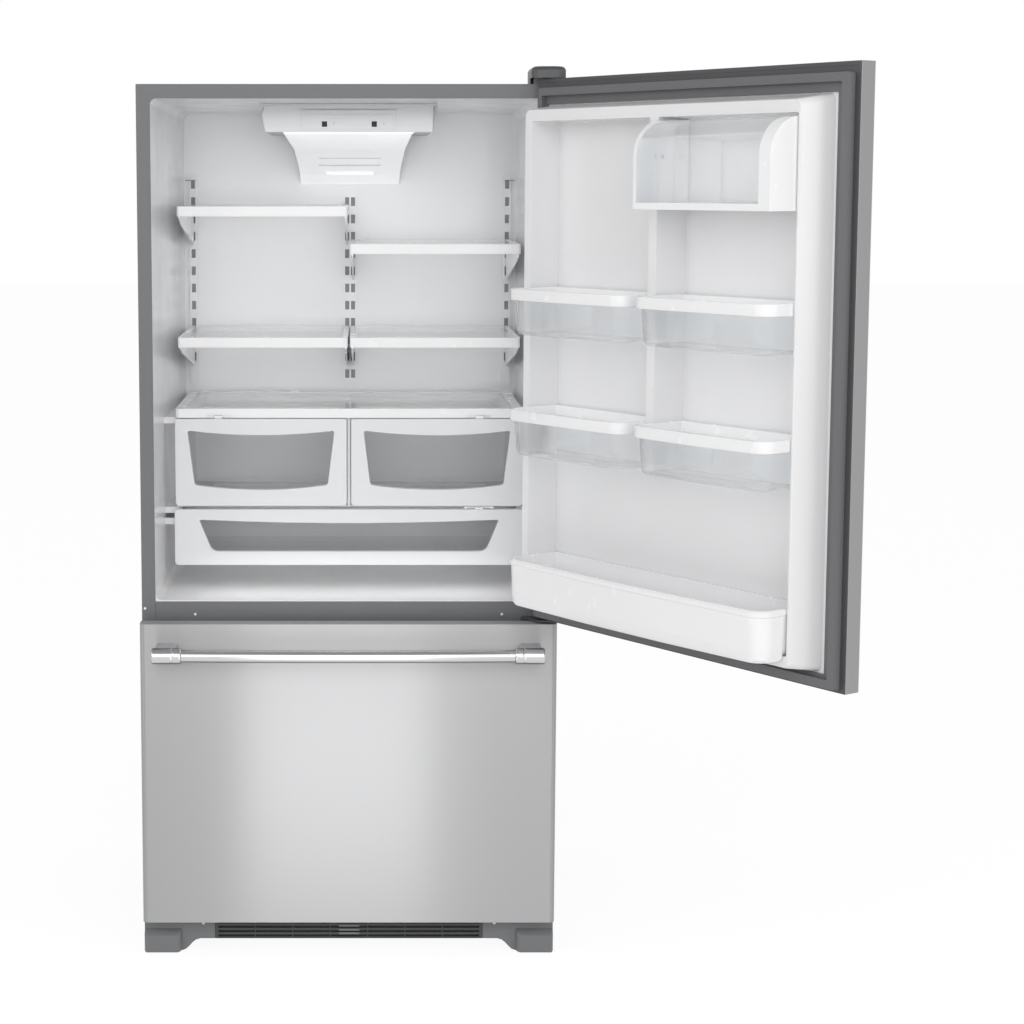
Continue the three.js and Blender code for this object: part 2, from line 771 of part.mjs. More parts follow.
function shelfGlass(side, drop) {
  const top = shelfTop - drop * ladderPitch;
  const inset = shelfBorder - glassLap + seat;
  const [x0, x1] = span(side * shelfGap, side * shelfSide);
  return box(
    [x0 + inset, x1 - inset],
    [behind(shelfFront) + inset, fridgeBackY - shelfBackGap - inset],
    [top - glassThickness, top],
  );
}

// ---------------------------------------------------------------- crisper cover, pan frame and pans
const coverRange = [behind(pansFront), fridgeBackY - coverBackGap];

function tabChannel(x, z) {
  const half = (tabWidth + tabTravel) / 2 + 1;
  return box([x - half, x + half], [coverRange[0] - 1, coverRange[0] + 5], z);
}

function crisperCover() {
  const [y0, y1] = coverRange;
  const pane = coverTop - glassThickness - seat;
  return cut(
    alongZ(rectangle([-coverHalf, coverHalf], [y0, y1], 8), [coverBottom, coverTop]),
    box(
      [coverBorder - glassLap - coverHalf, coverHalf - coverBorder + glassLap],
      [y0 + coverBorder - glassLap, y1 - coverBorder + glassLap],
      [pane, coverTop + 1],
    ),
    box(
      [coverBorder - coverHalf, coverHalf - coverBorder],
      [y0 + coverBorder, y1 - coverBorder],
      [coverBottom + 6, coverTop + 1],
    ),
    box(
      [coverBorder + coverLap - coverHalf, coverHalf - coverBorder - coverLap],
      [y0 + coverBorder + coverLap, y1 - coverBorder - coverLap],
      [coverBottom - 1, coverTop + 1],
    ),
    ...[-tabFromMiddle, tabFromMiddle].map((x) => tabChannel(x, [coverBottom - 1, coverBottom + 6])),
  );
}

function crisperGlass() {
  const inset = coverBorder - glassLap + seat;
  return box(
    [inset - coverHalf, coverHalf - inset],
    [coverRange[0] + inset, coverRange[1] - inset],
    [coverTop - glassThickness, coverTop],
  );
}

function panFrame() {
  const [y0, y1] = [behindPanFronts, coverRange[1] - 3];
  const plateZ = [panFrameBottom, panFrameBottom + panFrameThickness];
  const plate = cut(
    box([-coverHalf, coverHalf], [y0, y1], plateZ),
    ...mirrored((side) =>
      box(
        span(side * 40, side * (coverHalf - panFrameBorder)),
        [y0 + panFrameBorder, y1 - panFrameBorder],
        [plateZ[0] - 1, plateZ[1] + 1],
      ),
    ),
  );
  const post = box([-2.2, 2.2], [y0 - 4, y1], [plateZ[0], coverBottom - seat]);
  const tabSeat = cut(
    box(
      [tabFromMiddle - 30, tabFromMiddle + 30],
      [coverRange[0], y0 + 1],
      [deliTop + 1.5, crisperBottom - 1],
    ),
    tabChannel(tabFromMiddle, [deliTop, plateZ[0] + 1.4]),
  );
  return join(plate, post, tabSeat);
}

// A pan: tapered clear body behind a front with a window pressed nearly through it.
function pan([x0, x1], [low, high], windowOutline, flange) {
  const y0 = behind(pansFront);
  const bodyFront = y0 + frontThickness - 2;
  const y1 = fridgeBackY - pansBackGap;
  const rim = high - panDrop;
  const level = (z, grow) =>
    ring(
      rectangle(
        [x0 + panInset - grow, x1 - panInset + grow],
        [bodyFront - grow, y1 + grow],
        [6, 6, 14, 14],
      ),
      flat(z),
    );
  const body = loft([level(low, -panTaper), level(rim, 0)]);
  const hollow = loft([level(low + panWall, -panTaper - panWall), level(rim + 1, -panWall)]);
  const face = cut(
    alongY(rectangle([x0, x1], [low, high], [7, 7, 3, 3]), [y0, y0 + frontThickness]),
    alongY(windowOutline, [y0 - 1, y0 + windowDepth], 6),
  );
  const lips = flange
    ? mirrored((side) =>
        box(
          span(side * (pansHalf - panInset - 2), side * (pansHalf - panInset + flange)),
          [bodyFront, y1 - 14],
          [rim - panLip, rim],
        ),
      )
    : [];
  return join(face, cut(body, hollow), ...lips);
}

// Window with a sagging top edge, leaning sides and a bulging lower edge.
function windowOf([x0, x1], [z0, z1], lean, sag, bulge, radius) {
  const shape = new THREE.Shape();
  const middle = (x0 + x1) / 2;
  shape.moveTo(x0 + lean + radius, z0);
  shape.quadraticCurveTo(middle, z0 - 2 * bulge, x1 - lean - radius, z0);
  shape.quadraticCurveTo(x1 - lean, z0, x1 - lean + 1, z0 + radius);
  shape.lineTo(x1, z1);
  shape.quadraticCurveTo(middle, z1 - 2 * sag, x0, z1);
  shape.lineTo(x0 + lean - 1, z0 + radius);
  shape.quadraticCurveTo(x0 + lean, z0, x0 + lean + radius, z0);
  return shape;
}

function crisper(side) {
  const [x0, x1] = span(side * crisperGap, side * pansHalf);
  const height = [crisperBottom + windowLow, crisperTop - windowTop];
  const window = windowOf([x0 + windowSide, x1 - windowSide], height, 14, 9, 9, 6);
  return pan([x0, x1], [crisperBottom, crisperTop], window, 0);
}

function deliPan() {
  const half = pansHalf - deliWindowSide;
  const height = [deliBottom + deliWindowLow, deliTop - deliWindowTop];
  const window = windowOf([-half, half], height, 27, 7, 0, 9);
  return pan([-pansHalf, pansHalf], [deliBottom, deliTop], window, deliFlange);
}

function sliderTab(x, [z0, z1]) {
  const grip = box(
    [x - tabWidth / 2, x + tabWidth / 2],
    [coverRange[0] - tabProud, coverRange[0] + 4],
    [z0, z1],
  );
  return cut(grip, box([x - 1, x + 1], [coverRange[0] - 3, coverRange[0] - 1.5], [z0 - 1, z1 + 1]));
}

// ---------------------------------------------------------------- hinges on the cabinet
const plateThickness = 3.5;

function topHinge() {
  const over = doorTop + 1.2;
  const plate = box([hingeX - 32, hingeX + 14], [flangeY - 44, flangeY + 1], [over, over + plateThickness]);
  const riser = box([hingeX - 32, hingeX + 14], [flangeY, flangeY + plateThickness], [
    cabinetHeight + seat,
    over + plateThickness,
  ]);
  const foot = box([hingeX - 32, hingeX + 14], [flangeY, flangeY + 62], [
    cabinetHeight + seat,
    cabinetHeight + seat + plateThickness,
  ]);
  const screws = [18, 46].flatMap((y) =>
    [-22, 4].map((x) =>
      rod("z", 4, [cabinetHeight + 1, cabinetHeight + 7], [hingeX + x, flangeY + y, 0], 8),
    ),
  );
  const pin = rod("z", pinRadius, [doorTop - 16, over + 1], [hingeX, hingeY, 0], 16);
  return join(plate, riser, foot, pin, ...screws);
}

function hingeCover() {
  const [x0, x1] = [hingeX - 39, hingeX + 28];
  const [y0, y1] = [flangeY - 52, flangeY + 72];
  const top = doorTop + 24;
  const low = cabinetHeight + seat;
  const level = (z, shrink) =>
    ring(rectangle([x0 + shrink, x1 - shrink], [y0 + shrink, y1 - shrink], 14), flat(z));
  const outer = loft([level(low, 0), level(top - 7, 0), level(top - 2, 3), level(top, 8)]);
  const inner = loft([level(low - 1, 2), level(top - 8, 2), level(top - 2.5, 9)]);
  const overDoor = box([x0 - 1, x1 + 1], [y0 - 1, flangeY + 0.5], [low - 1, doorTop + 1.5]);
  const besideShell = box([halfWidth - 1, x1 + 1], [flangeY, y1 + 1], [low - 1, low + 5]);
  return cut(outer, inner, overDoor, besideShell);
}

// The centre hinge hangs on the rail and reaches between the drawer and the door.
function centreHinge() {
  const z0 = drawerTop + 2;
  const tongue = polygon([
    [hingeX - 48, flangeY - seat],
    [hingeX - 16, flangeY - 44],
    [hingeX + 12, flangeY - 48],
    [hingeX + 16, flangeY - 44],
    [hingeX + 16, flangeY - seat],
  ]);
  const pin = rod("z", pinRadius, [z0 + 1, doorBottom + 16], [hingeX, hingeY, 0], 16);
  const back = box([hingeX - 48, hingeX + 16], [flangeY - seat - 3, flangeY - seat], [
    z0 - 10,
    z0 + plateThickness,
  ]);
  return join(alongZ(tongue, [z0, z0 + plateThickness]), back, pin);
}

// ---------------------------------------------------------------- base
const baseRailTop = freezerFloor - linerWall - 2 * seat;
const foot = (side) => [side * footX, footY, 0];

// Bottom tray with a front rail, roller ears and the seats of the levelling feet.
function baseFrame() {
  const tray = box([-innerHalf, innerHalf], [linerFront, rearY - sheet - 12], [
    trayHeight,
    trayHeight + traySheet,
  ]);
  const rail = box([-innerHalf, innerHalf], [linerFront, linerFront + traySheet], [
    trayHeight,
    baseRailTop,
  ]);
  const railFace = box([seat - openingHalf, openingHalf - seat], [flangeY, linerFront + 1], [
    grilleTop + 6,
    baseRailTop,
  ]);
  const webY = behind(freezerDepth) + 10;
  const web = box([-innerHalf, innerHalf], [webY, webY + traySheet], [trayHeight, trayHeight + 60]);
  const sockets = mirrored((side) =>
    rod("z", footRadius - 4, [trayHeight - 12, trayHeight + 12], foot(side), 12),
  );
  const holes = mirrored((side) =>
    rod("z", studRadius + runningClearance, [trayHeight - 13, trayHeight + 13], foot(side), 16),
  );
  const reach = rollerWidth / 2 + 2;
  const ears = mirrored((side) =>
    join(
      ...mirrored((ear) => {
        const x = side * rollerX + ear * (reach + 1.5);
        return box([x - 1.5, x + 1.5], [rollerY - 14, rollerY + 14], [
          rollerRadius - 9,
          trayHeight + traySheet,
        ]);
      }),
      rod("x", axleRadius, [side * rollerX - reach - 1, side * rollerX + reach + 1], [
        0,
        rollerY,
        rollerRadius,
      ], 16),
    ),
  );
  const wells = mirrored((side) =>
    box(
      [side * rollerX - reach, side * rollerX + reach],
      [rollerY - rollerRadius - 3, rollerY + rollerRadius + 3],
      [trayHeight - 1, trayHeight + traySheet + 1],
    ),
  );
  const ventilation = repeat(5, (i) =>
    box(
      [condenserX[0] + 6 + i * 48, condenserX[0] + 30 + i * 48],
      [condenserY[0], condenserY[0] + 150],
      [trayHeight - 1, trayHeight + traySheet + 1],
    ),
  );
  return join(
    cut(join(tray, rail, railFace, web, ...sockets), ...holes, ...wells, ...ventilation),
    ...ears,
  );
}

function levellingFoot(side) {
  const [x, y] = foot(side);
  const profile = [
    [0, 0],
    [footRadius - 2, 0],
    [footRadius, 2],
    [footRadius, footHeight - 3],
    [studRadius + 3, footHeight],
    [studRadius, footHeight],
    [studRadius, trayHeight + 30],
    [0, trayHeight + 30],
  ];
  const nut = rod("z", studRadius + 4, [footHeight - 1, footHeight + 6], [x, y, 0], 6);
  return join(revolve(profile, 16, [x, y, 0]), nut);
}

function rearRoller(side) {
  const half = rollerWidth / 2;
  const centre = [0, rollerY, rollerRadius];
  const x = side * rollerX;
  const bore = axleRadius + runningClearance;
  const tread = rod("x", rollerRadius, [x - half, x + half], centre, 24);
  return cut(tread, rod("x", bore, [x - half - 1, x + half + 1], centre, 12));
}

// Bulged cover over a front foot: it swells forward at the floor and sweeps up to the flat grille line.
function footCover(side) {
  const front = flangeY - grilleFront;
  const back = linerFront - sheet - seat - 0.2;
  const outer = halfWidth;
  const inner = halfWidth - coverFoot;
  const sweep = new THREE.Shape();
  sweep.moveTo(outer, coverLift);
  sweep.lineTo(inner + 5, coverLift);
  sweep.bezierCurveTo(
    inner - 10,
    coverLift + 2,
    inner - 14,
    grilleBottom - 1,
    inner - 32,
    grilleBottom,
  );
  sweep.lineTo(grilleHalf + seat, grilleBottom);
  sweep.lineTo(grilleHalf + seat, grilleTop);
  sweep.lineTo(outer, grilleTop);
  sweep.closePath();
  const outline = sweep.getPoints(5).map((p) => new THREE.Vector2(side * p.x, p.y));
  const face = alongY(new THREE.Shape(outline), [front + grilleSetback, back]);
  const bulge = (y, shrink, top) =>
    ring(
      rectangle(span(side * (outer - shrink * 0.3), side * (inner + 6 + shrink)), [coverLift, top], 3),
      upright(y),
    );
  const toe = loft([
    bulge(front, 6, coverShoulder - 9),
    bulge(front + 5, 1, coverShoulder - 3),
    bulge(front + grilleSetback + 1, 0, coverShoulder + 3),
  ]);
  const hollow = join(
    box(
      span(side * (outer - 3), side * (inner + 9)),
      [front + 8, back + 1],
      [coverLift - 1, coverShoulder - 4],
    ),
    box(span(side * (outer - 3), side * (grilleHalf + 4)), [front + 18, back + 1], [
      grilleBottom + 3,
      grilleTop - 3,
    ]),
  );
  return cut(join(face, toe), hollow);
}

// Grille: long louvre gaps between bars, tied by thin upright ribs.
function baseGrille() {
  const y0 = flangeY - grilleFront + grilleSetback;
  const y1 = y0 + grilleDepth;
  const plate = alongY(rectangle([-grilleHalf, grilleHalf], [grilleBottom, grilleTop], 1), [y0, y1]);
  const pitch = (grilleTop - grilleBottom - 4) / grilleBars;
  const ribs = 7;
  const cell = (2 * grilleHalf - 12) / ribs;
  const gaps = repeat(grilleBars, (row) =>
    repeat(ribs, (i) => {
      const x = 6 - grilleHalf + i * cell;
      const z = grilleBottom + 3.5 + row * pitch;
      return box([x + 1, x + cell - 1], [y0 - 1, y1 + 1], [z, z + pitch * 0.52]);
    }),
  ).flat();
  const returns = [
    box([-grilleHalf, grilleHalf], [y1 - 1, flangeY - seat - 0.2], [grilleBottom, grilleBottom + 2]),
    box([-grilleHalf, grilleHalf], [y1 - 1, flangeY - seat - 0.2], [grilleTop - 2, grilleTop]),
  ];
  return join(cut(plate, ...gaps), ...returns);
}

// ---------------------------------------------------------------- cooling parts
// A finned coil: straight tubes through upright fins, closed by end plates.
function finnedCoil([x0, x1], [y0, y1], [z0, z1], rows, tubeRadius) {
  const pitch = (x1 - x0 - 3) / (finCount - 1);
  const fins = repeat(finCount, (i) => {
    const x = x0 + i * pitch;
    const end = i === 0 || i === finCount - 1;
    const lift = end ? 0 : 6;
    return box([x, x + (end ? 3 : 1.5)], [y0 + lift, y1 - lift], [z0 + lift, z1 - lift]);
  });
  const tubes = repeat(rows, (i) => {
    const z = z0 + ((i + 0.5) * (z1 - z0)) / rows;
    return rod("x", tubeRadius, [x0 - 10, x1 + 10], [0, (y0 + y1) / 2, z], 6);
  });
  return join(...fins, ...tubes);
}

const evaporatorCoverY = behind(freezerDepth) + 8;
const fanHeight = freezerCeiling - fanRadius - 18;

function fanRotor([x, y, z]) {
  const hub = rod("y", 19, [y - 11, y + 11], [x, 0, z], 16);
  const bore = rod("y", axleRadius + runningClearance, [y - 12, y + 8], [x, 0, z], 16);
  const root = 14;
  const blades = repeat(fanBlades, (i) => {
    const geometry = new THREE.BoxGeometry(30, 2.4, fanRadius - root);
    geometry.translate(0, 0, (fanRadius + root) / 2);
    geometry.applyMatrix4(new THREE.Matrix4().makeRotationAxis(Z, 0.5));
    geometry.applyMatrix4(new THREE.Matrix4().makeRotationAxis(Y, (i * 2 * Math.PI) / fanBlades));
    return solid(geometry.translate(x, y, z));
  });
  return cut(join(hub, ...blades), bore);
}

// Panel in front of the evaporator, with air slots and a ring and shaft for its fan.
function evaporatorCover() {
  const y = evaporatorCoverY;
  const plate = box([seat - openingHalf, openingHalf - seat], [y, y + 3], [
    stepHeight + seat,
    freezerCeiling - seat,
  ]);
  const slots = [-2, -1, 0, 1, 2].map((i) =>
    box([i * 104 - 41, i * 104 + 41], [y - 1, y + 4], [stepHeight + 16, stepHeight + 26]),
  );
  const vents = mirrored((side) =>
    repeat(4, (i) =>
      box(span(side * 110, side * 200), [y - 1, y + 4], [fanHeight - 36 + i * 22, fanHeight - 26 + i * 22]),
    ),
  ).flat();
  const eye = cut(
    rod("y", fanRadius + 3, [y - 1, y + 4], [0, 0, fanHeight], 24),
    box([-70, 70], [y - 2, y + 5], [fanHeight - 3, fanHeight + 3]),
  );
  const rim = cut(
    rod("y", fanRadius + 6, [y + 2, y + 30], [0, 0, fanHeight], 24),
    rod("y", fanRadius + 3, [y + 1, y + 31], [0, 0, fanHeight], 24),
  );
  const shaft = rod("y", axleRadius, [y + 1, y + fanShaft], [0, 0, fanHeight], 16);
  return join(cut(plate, ...slots, ...vents, eye), rim, shaft);
}

function compressor() {
  const z0 = trayHeight + traySheet + seat;
  const [r, h] = [compressorRadius, compressorHeight];
  const shell = revolve(
    [
      [0, 12],
      [r * 0.72, 14],
      [r * 0.96, 34],
      [r, 60],
      [r, h * 0.52],
      [r * 1.04, h * 0.53],
      [r * 1.04, h * 0.57],
      [r * 0.9, h * 0.8],
      [r * 0.62, h * 0.95],
      [0, h],
    ],
    16,
    [compressorX, compressorY, z0],
  );
  const foot = alongZ(
    rectangle([compressorX - 105, compressorX + 105], [compressorY - 60, compressorY + 60], 18),
    [z0 + 10, z0 + 20],
  );
  const grommets = mirrored((i) =>
    mirrored((j) =>
      rod("z", 11, [z0, z0 + 24], [compressorX + i * 88, compressorY + j * 44, 0], 10),
    ),
  ).flat();
  const terminal = box([compressorX + r - 12, compressorX + r + 26], [compressorY - 28, compressorY + 28], [
    z0 + 46,
    z0 + 104,
  ]);
  return join(shell, foot, ...grommets, terminal);
}

const condenserFanX = (condenserX[0] + condenserX[1]) / 2;
const condenserY = [rearY - condenserFromRear, rearY - condenserFromRear + condenserDepth];
const condenserZ = [trayHeight + traySheet + seat, condenserTop];
const condenserFanZ = (condenserZ[0] + condenserZ[1]) / 2;

// Finned condenser with a shroud ring and the fan's shaft on two spokes.
function condenser() {
  const [y0, y1] = condenserY;
  const coil = finnedCoil(condenserX, [y0, y1], condenserZ, tubeRows, 4.5);
  const shroudY = [y1 - 1, y1 + 2.5];
  const centre = [condenserFanX, 0, condenserFanZ];
  const shroud = cut(
    box(condenserX, shroudY, condenserZ),
    cut(
      rod("y", fanRadius + 6, [y1 - 2, y1 + 4], centre, 24),
      box([condenserFanX - 80, condenserFanX + 80], [y1 - 3, y1 + 5], [
        condenserFanZ - 4,
        condenserFanZ + 4,
      ]),
    ),
  );
  const shaft = rod("y", axleRadius, [y1, y1 + fanShaft], centre, 16);
  return join(coil, shroud, shaft);
}

// Cover over the machine compartment, louvred on both sides, with the cord's way out at the lower corner.
function rearCover() {
  const y1 = rearY - sheet - seat;
  const panel = box([-innerHalf, innerHalf], [y1 - 2, y1], [trayHeight + traySheet + 2, machineTop - 1]);
  const rows = Math.floor((machineTop - louvreLow - 10) / louvrePitch);
  const slots = mirrored((side) =>
    repeat(rows, (i) => {
      const z = louvreLow + i * louvrePitch;
      return box(span(side * 70, side * 320), [y1 - 3, y1 + 1], [z, z + 8]);
    }),
  ).flat();
  const glandAt = [glandInset - innerHalf, 0, louvreLow - 6];
  const gland = rod("y", 9, [y1 - 5, y1 + 1], glandAt, 16);
  const bore = rod("y", 5, [y1 - 6, y1 + 2], glandAt, 12);
  return cut(join(cut(panel, ...slots), gland), bore);
}

// ---------------------------------------------------------------- door, drawn shut in the hinge's frame
// Seen from in front, the door runs from the axis to the left. The axis is at x = 0, y = 0.
const doorFree = -(hingeX + halfWidth);
const doorEdge = hingeFromSide;
const doorOuter = hingeSetback - doorProud;
const doorInner = doorOuter + doorThickness;
const inward = (reach) => doorInner + reach;

// A sheet steel shell, open towards the food side but for a narrow lip.
function pressedShell([x0, x1], [y0, y1], [z0, z1], lip) {
  const body = alongZ(rectangle([x0, x1], [y0, y1], [doorRadius, doorRadius, 1.5, 1.5]), [z0, z1]);
  const hollow = alongZ(
    rectangle([x0 + doorSheet, x1 - doorSheet], [y0 + doorSheet, y1 - doorSheet], [
      doorRadius - doorSheet,
      doorRadius - doorSheet,
      1,
      1,
    ]),
    [z0 + doorSheet, z1 - doorSheet],
  );
  const opening = box([x0 + lip, x1 - lip], [y1 - doorSheet - 1, y1 + 1], [z0 + lip, z1 - lip]);
  return cut(body, hollow, opening);
}

const doorLip = 7.5;

function doorSkin() {
  const shell = pressedShell([doorFree, doorEdge], [doorOuter, doorInner], [doorBottom, doorTop], doorLip);
  const pinHole = rod("z", pinRadius + pinClearance, [doorBottom - 1, doorTop + 1], [0, 0, 0], 16);
  return cut(shell, pinHole);
}

// Inner door panel: a dyke round the edge, two pockets for bins above and one wide pocket below.
function doorLiner() {
  const edge = doorLip + seat;
  const plate = box(
    [doorFree + edge, doorEdge - edge],
    [doorInner - 3, doorInner],
    [doorBottom + edge, doorTop - edge],
  );
  const crestX = [-pocketFree - dykeWallFree, -pocketHinge + dykeWallHinge];
  const crest = [doorBottom + dykeBaseBottom + dykeCrestInset, doorTop - dykeBaseTop - dykeCrestInset];
  const dyke = loft([
    ring(
      rectangle(
        [doorFree + dykeBaseFree, -dykeBaseHinge],
        [doorBottom + dykeBaseBottom, doorTop - dykeBaseTop],
        12,
      ),
      upright(doorInner - pocketField - linerWall),
    ),
    ring(rectangle(crestX, crest, 12), upright(inward(dykeHeight - 4))),
    ring(
      rectangle([crestX[0] + 2, crestX[1] - 2], [crest[0] + 2, crest[1] - 2], 12),
      upright(inward(dykeHeight)),
    ),
  ]);
  const pocket = (near, far, low, high) =>
    loft([
      ring(
        rectangle(
          [-far + pocketDraft, -near - pocketDraft],
          [low + pocketDraft, high - pocketDraft],
          pocketRadius,
        ),
        upright(doorInner - pocketField),
      ),
      ring(rectangle([-far, -near], [low, high], pocketRadius), upright(inward(dykeHeight + 1))),
    ]);
  const hangers = Object.values(binLevels).flatMap((level) => {
    const z = [level + binHeight - binRim - 12, level + binHeight - binRim - seat];
    const depth = [inward(8), inward(48)];
    return [pocketHinge, pocketRibRight].flatMap((near, i) => {
      const far = i ? pocketFree : pocketRibLeft;
      return [
        box([-near - pocketDraft - hangerProud, -near], depth, z),
        box([-far, -far + pocketDraft + hangerProud], depth, z),
      ];
    });
  });
  return join(
    cut(
      join(plate, dyke),
      pocket(pocketHinge, pocketRibLeft, pocketBottom + 10, pocketTop),
      pocket(pocketRibRight, pocketFree, pocketBottom + 10, pocketTop),
      pocket(pocketHinge, pocketFree, pocketBottom, ribBottom),
    ),
    ...hangers,
  );
}

// Magnetic gasket: a flat base with a raised bulb that meets the cabinet's flange.
function gasketRing(outer, inner, bulbOuter, bulbInner, base, height) {
  const plate = frameOf(rectangle(...outer, 3), rectangle(...inner, 3), [base, base + gasketBase], alongY);
  const bulb = frameOf(
    rectangle(...bulbOuter, 3),
    rectangle(...bulbInner, 3),
    [base + gasketBase - 1, height],
    alongY,
  );
  return join(plate, bulb);
}

function doorGasket() {
  const free = doorFree + gasketOuter;
  const top = doorTop - gasketOuter - 5.5; // clears the corner of the cabinet's top flange
  const low = doorBottom + 4;
  return gasketRing(
    [[free, doorEdge - 3.5], [low, top]],
    [[doorFree + dykeBaseFree - 6, -dykeBaseHinge + 0.6], [
      doorBottom + dykeBaseBottom - 0.6,
      doorTop - dykeBaseTop + 0.6,
    ]],
    [[free, -1], [low + 3, top]],
    [[free + gasketBulb, -8], [low + 3 + gasketBulb, top - gasketBulb]],
    doorInner + seat,
    hingeSetback - seat,
  );
}

// ---------------------------------------------------------------- door bins
function binOutline(near, far, reach, radius, bow, shrink) {
  const [x0, x1] = [-far + shrink, -near - shrink];
  const [y0, y1] = [inward(2 - pocketField) + shrink, inward(reach) - shrink];
  const r = radius - shrink / 2;
  const shape = new THREE.Shape();
  shape.moveTo(x0, y0);
  shape.lineTo(x1, y0);
  shape.lineTo(x1, y1 - r);
  shape.absarc(x1 - r, y1 - r, r, 0, Math.PI / 2);
  shape.quadraticCurveTo((x0 + x1) / 2, y1 + 2 * bow, x0 + r, y1);
  shape.absarc(x0 + r, y1 - r, r, Math.PI / 2, Math.PI);
  shape.lineTo(x0, y0);
  return shape;
}

function doorBin(near, far, level) {
  const outline = (shrink) =>
    binOutline(near, far, binReach, binRadius, binBow, shrink);
  const rimLow = level + binHeight - binRim;
  const top = level + binHeight;
  const body = loft([
    ring(outline(binTaper + 6), flat(level)),
    ring(outline(binTaper + 3), flat(level + 4)),
    ring(outline(binTaper), flat(rimLow + 1)),
  ]);
  const rim = alongZ(outline(0), [rimLow, top]);
  const hollow = loft([
    ring(outline(binTaper + 6 + binWall), flat(level + binWall)),
    ring(outline(binTaper + binWall), flat(rimLow)),
    ring(outline(rimWall + 2), flat(top + 1)),
  ]);
  return cut(join(body, rim), hollow);
}

// The wide bottom bin stands in the lower pocket, and its front hangs over the foot of the dyke.
function bottomBin(near, far) {
  const outline = (shrink) =>
    binOutline(near, far, binReach, bottomBinRadius, binBow * 1.4, shrink);
  const level = pocketBottom + pocketDraft + seat;
  const top = level + bottomBinHeight;
  const rim = 12;
  const body = loft([
    ring(outline(8), flat(level)),
    ring(outline(4), flat(level + 8)),
    ring(outline(2), flat(top - rim)),
    ring(outline(0), flat(top - rim + 2)),
    ring(outline(0), flat(top - 3)),
    ring(outline(3), flat(top)),
  ]);
  const front = box([-far, -near], [inward(dykeHeight + 2), inward(binReach * 1.2)], [
    level - bottomBinSkirt,
    level + rim,
  ]);
  const skirt = loft([
    ring(outline(9), flat(level - bottomBinSkirt)),
    ring(outline(5), flat(level - bottomBinSkirt + 6)),
    ring(outline(3.5), flat(level + rim)),
  ]).intersect(front);
  const hollow = loft([
    ring(outline(11), flat(level + binWall)),
    ring(outline(7), flat(top - rim)),
    ring(outline(8), flat(top + 1)),
  ]);
  return cut(join(body, skirt), hollow);
}

// ---------------------------------------------------------------- dairy box
function dairyProfile(arc, back, low) {
  const [y, z] = [inward(dairyReach - dairyArc), dairyArcHeight];
  const shape = new THREE.Shape();
  shape.moveTo(inward(back), low);
  shape.lineTo(y + arc, low);
  shape.lineTo(y + arc, z);
  shape.absarc(y, z, arc, 0, Math.PI / 2);
  shape.lineTo(inward(back), z + arc);
  shape.closePath();
  return shape;
}

const dairyNear = pocketRibRight + pocketDraft + seat;
const dairyFar = pocketFree - pocketDraft - seat;
const lidPivot = [0, inward(dairyReach - dairyArc), dairyArcHeight];
const lidRange = [-dairyFar + cheekFree + seat, -dairyNear - cheekHinge - seat];

function dairyBox() {
  const back = 2 - pocketField;
  const profile = dairyProfile(dairyArc, back, dairyFloor);
  const cheeks = [
    alongX(profile, [-dairyNear - cheekHinge, -dairyNear], 5),
    alongX(profile, [-dairyFar, -dairyFar + cheekFree], 5),
  ];
  const floor = box([-dairyFar, -dairyNear], [inward(back), inward(dairyReach)], [
    dairyFloor,
    dairyFloor + dairyFloorThickness,
  ]);
  const pinBore = lidPin + runningClearance;
  const bores = [
    rod("x", pinBore, [lidRange[0] - seat - 4, lidRange[0]], lidPivot, 12),
    rod("x", pinBore, [lidRange[1], lidRange[1] + seat + 4], lidPivot, 12),
  ];
  return cut(join(...cheeks, floor), ...bores);
}

function dairyLid() {
  const [x0, x1] = lidRange;
  const low = dairyFloor + dairyFloorThickness + seat;
  const [, y, z] = lidPivot;
  const reach = dairyArc;
  const outline = dairyProfile(reach, dairyReach - dairyArc - 6, low);
  const hollow = dairyProfile(reach - lidWall, dairyReach - dairyArc - 10, low - 5);
  const shell = cut(
    alongX(outline, [x0, x1], 5),
    alongX(hollow, [x0 + lidEnd, x1 - lidEnd], 5),
    box([x0 - 1, x1 + 1], [y - reach, y + 10], [low - 1, z - 5]),
  );
  const pins = [
    rod("x", lidPin, [x0 - 3, x0 + 1], lidPivot, 12),
    rod("x", lidPin, [x1 - 1, x1 + 3], lidPivot, 12),
  ];
  return join(shell, ...pins);
}

// ---------------------------------------------------------------- handles
// A bar with turned end sleeves and two posts, along x, standing off towards -y from a face at y = 0.
function handle() {
  const half = handleLength / 2;
  const barEnd = half - sleeveLength;
  const path = new THREE.QuadraticBezierCurve3(
    new THREE.Vector3(-barEnd - 4, -handleStandoff, 0),
    new THREE.Vector3(0, -handleStandoff - 2 * barBow, 0),
    new THREE.Vector3(barEnd + 4, -handleStandoff, 0),
  );
  const section = new THREE.Shape().absarc(0, 0, barRadius, 0, Math.PI * 2);
  const bar = solid(
    new THREE.ExtrudeGeometry(section, { steps: 8, curveSegments: 5, extrudePath: path }),
  );
  const r = sleeveRadius;
  const profile = [
    [0, 0],
    [r - 2, 0],
    [r, 2],
    [r, sleeveLength * 0.9],
    [barRadius + 0.5, sleeveLength],
    [0, sleeveLength],
  ];
  const sleeve = (side) => {
    const geometry = new THREE.LatheGeometry(profile.map(([a, b]) => new THREE.Vector2(a, b)), 12);
    geometry.rotateZ((side * Math.PI) / 2);
    return solid(geometry.translate(side * half, -handleStandoff, 0));
  };
  const post = (side) => {
    const x = span(side * (half - 3), side * (half - 3 - postWidth));
    const face = rectangle(x, [-postHeight / 2, postHeight / 2], 4);
    return alongY(face, [-handleStandoff, -seat], 2);
  };
  return join(bar, ...mirrored(sleeve), ...mirrored(post));
}

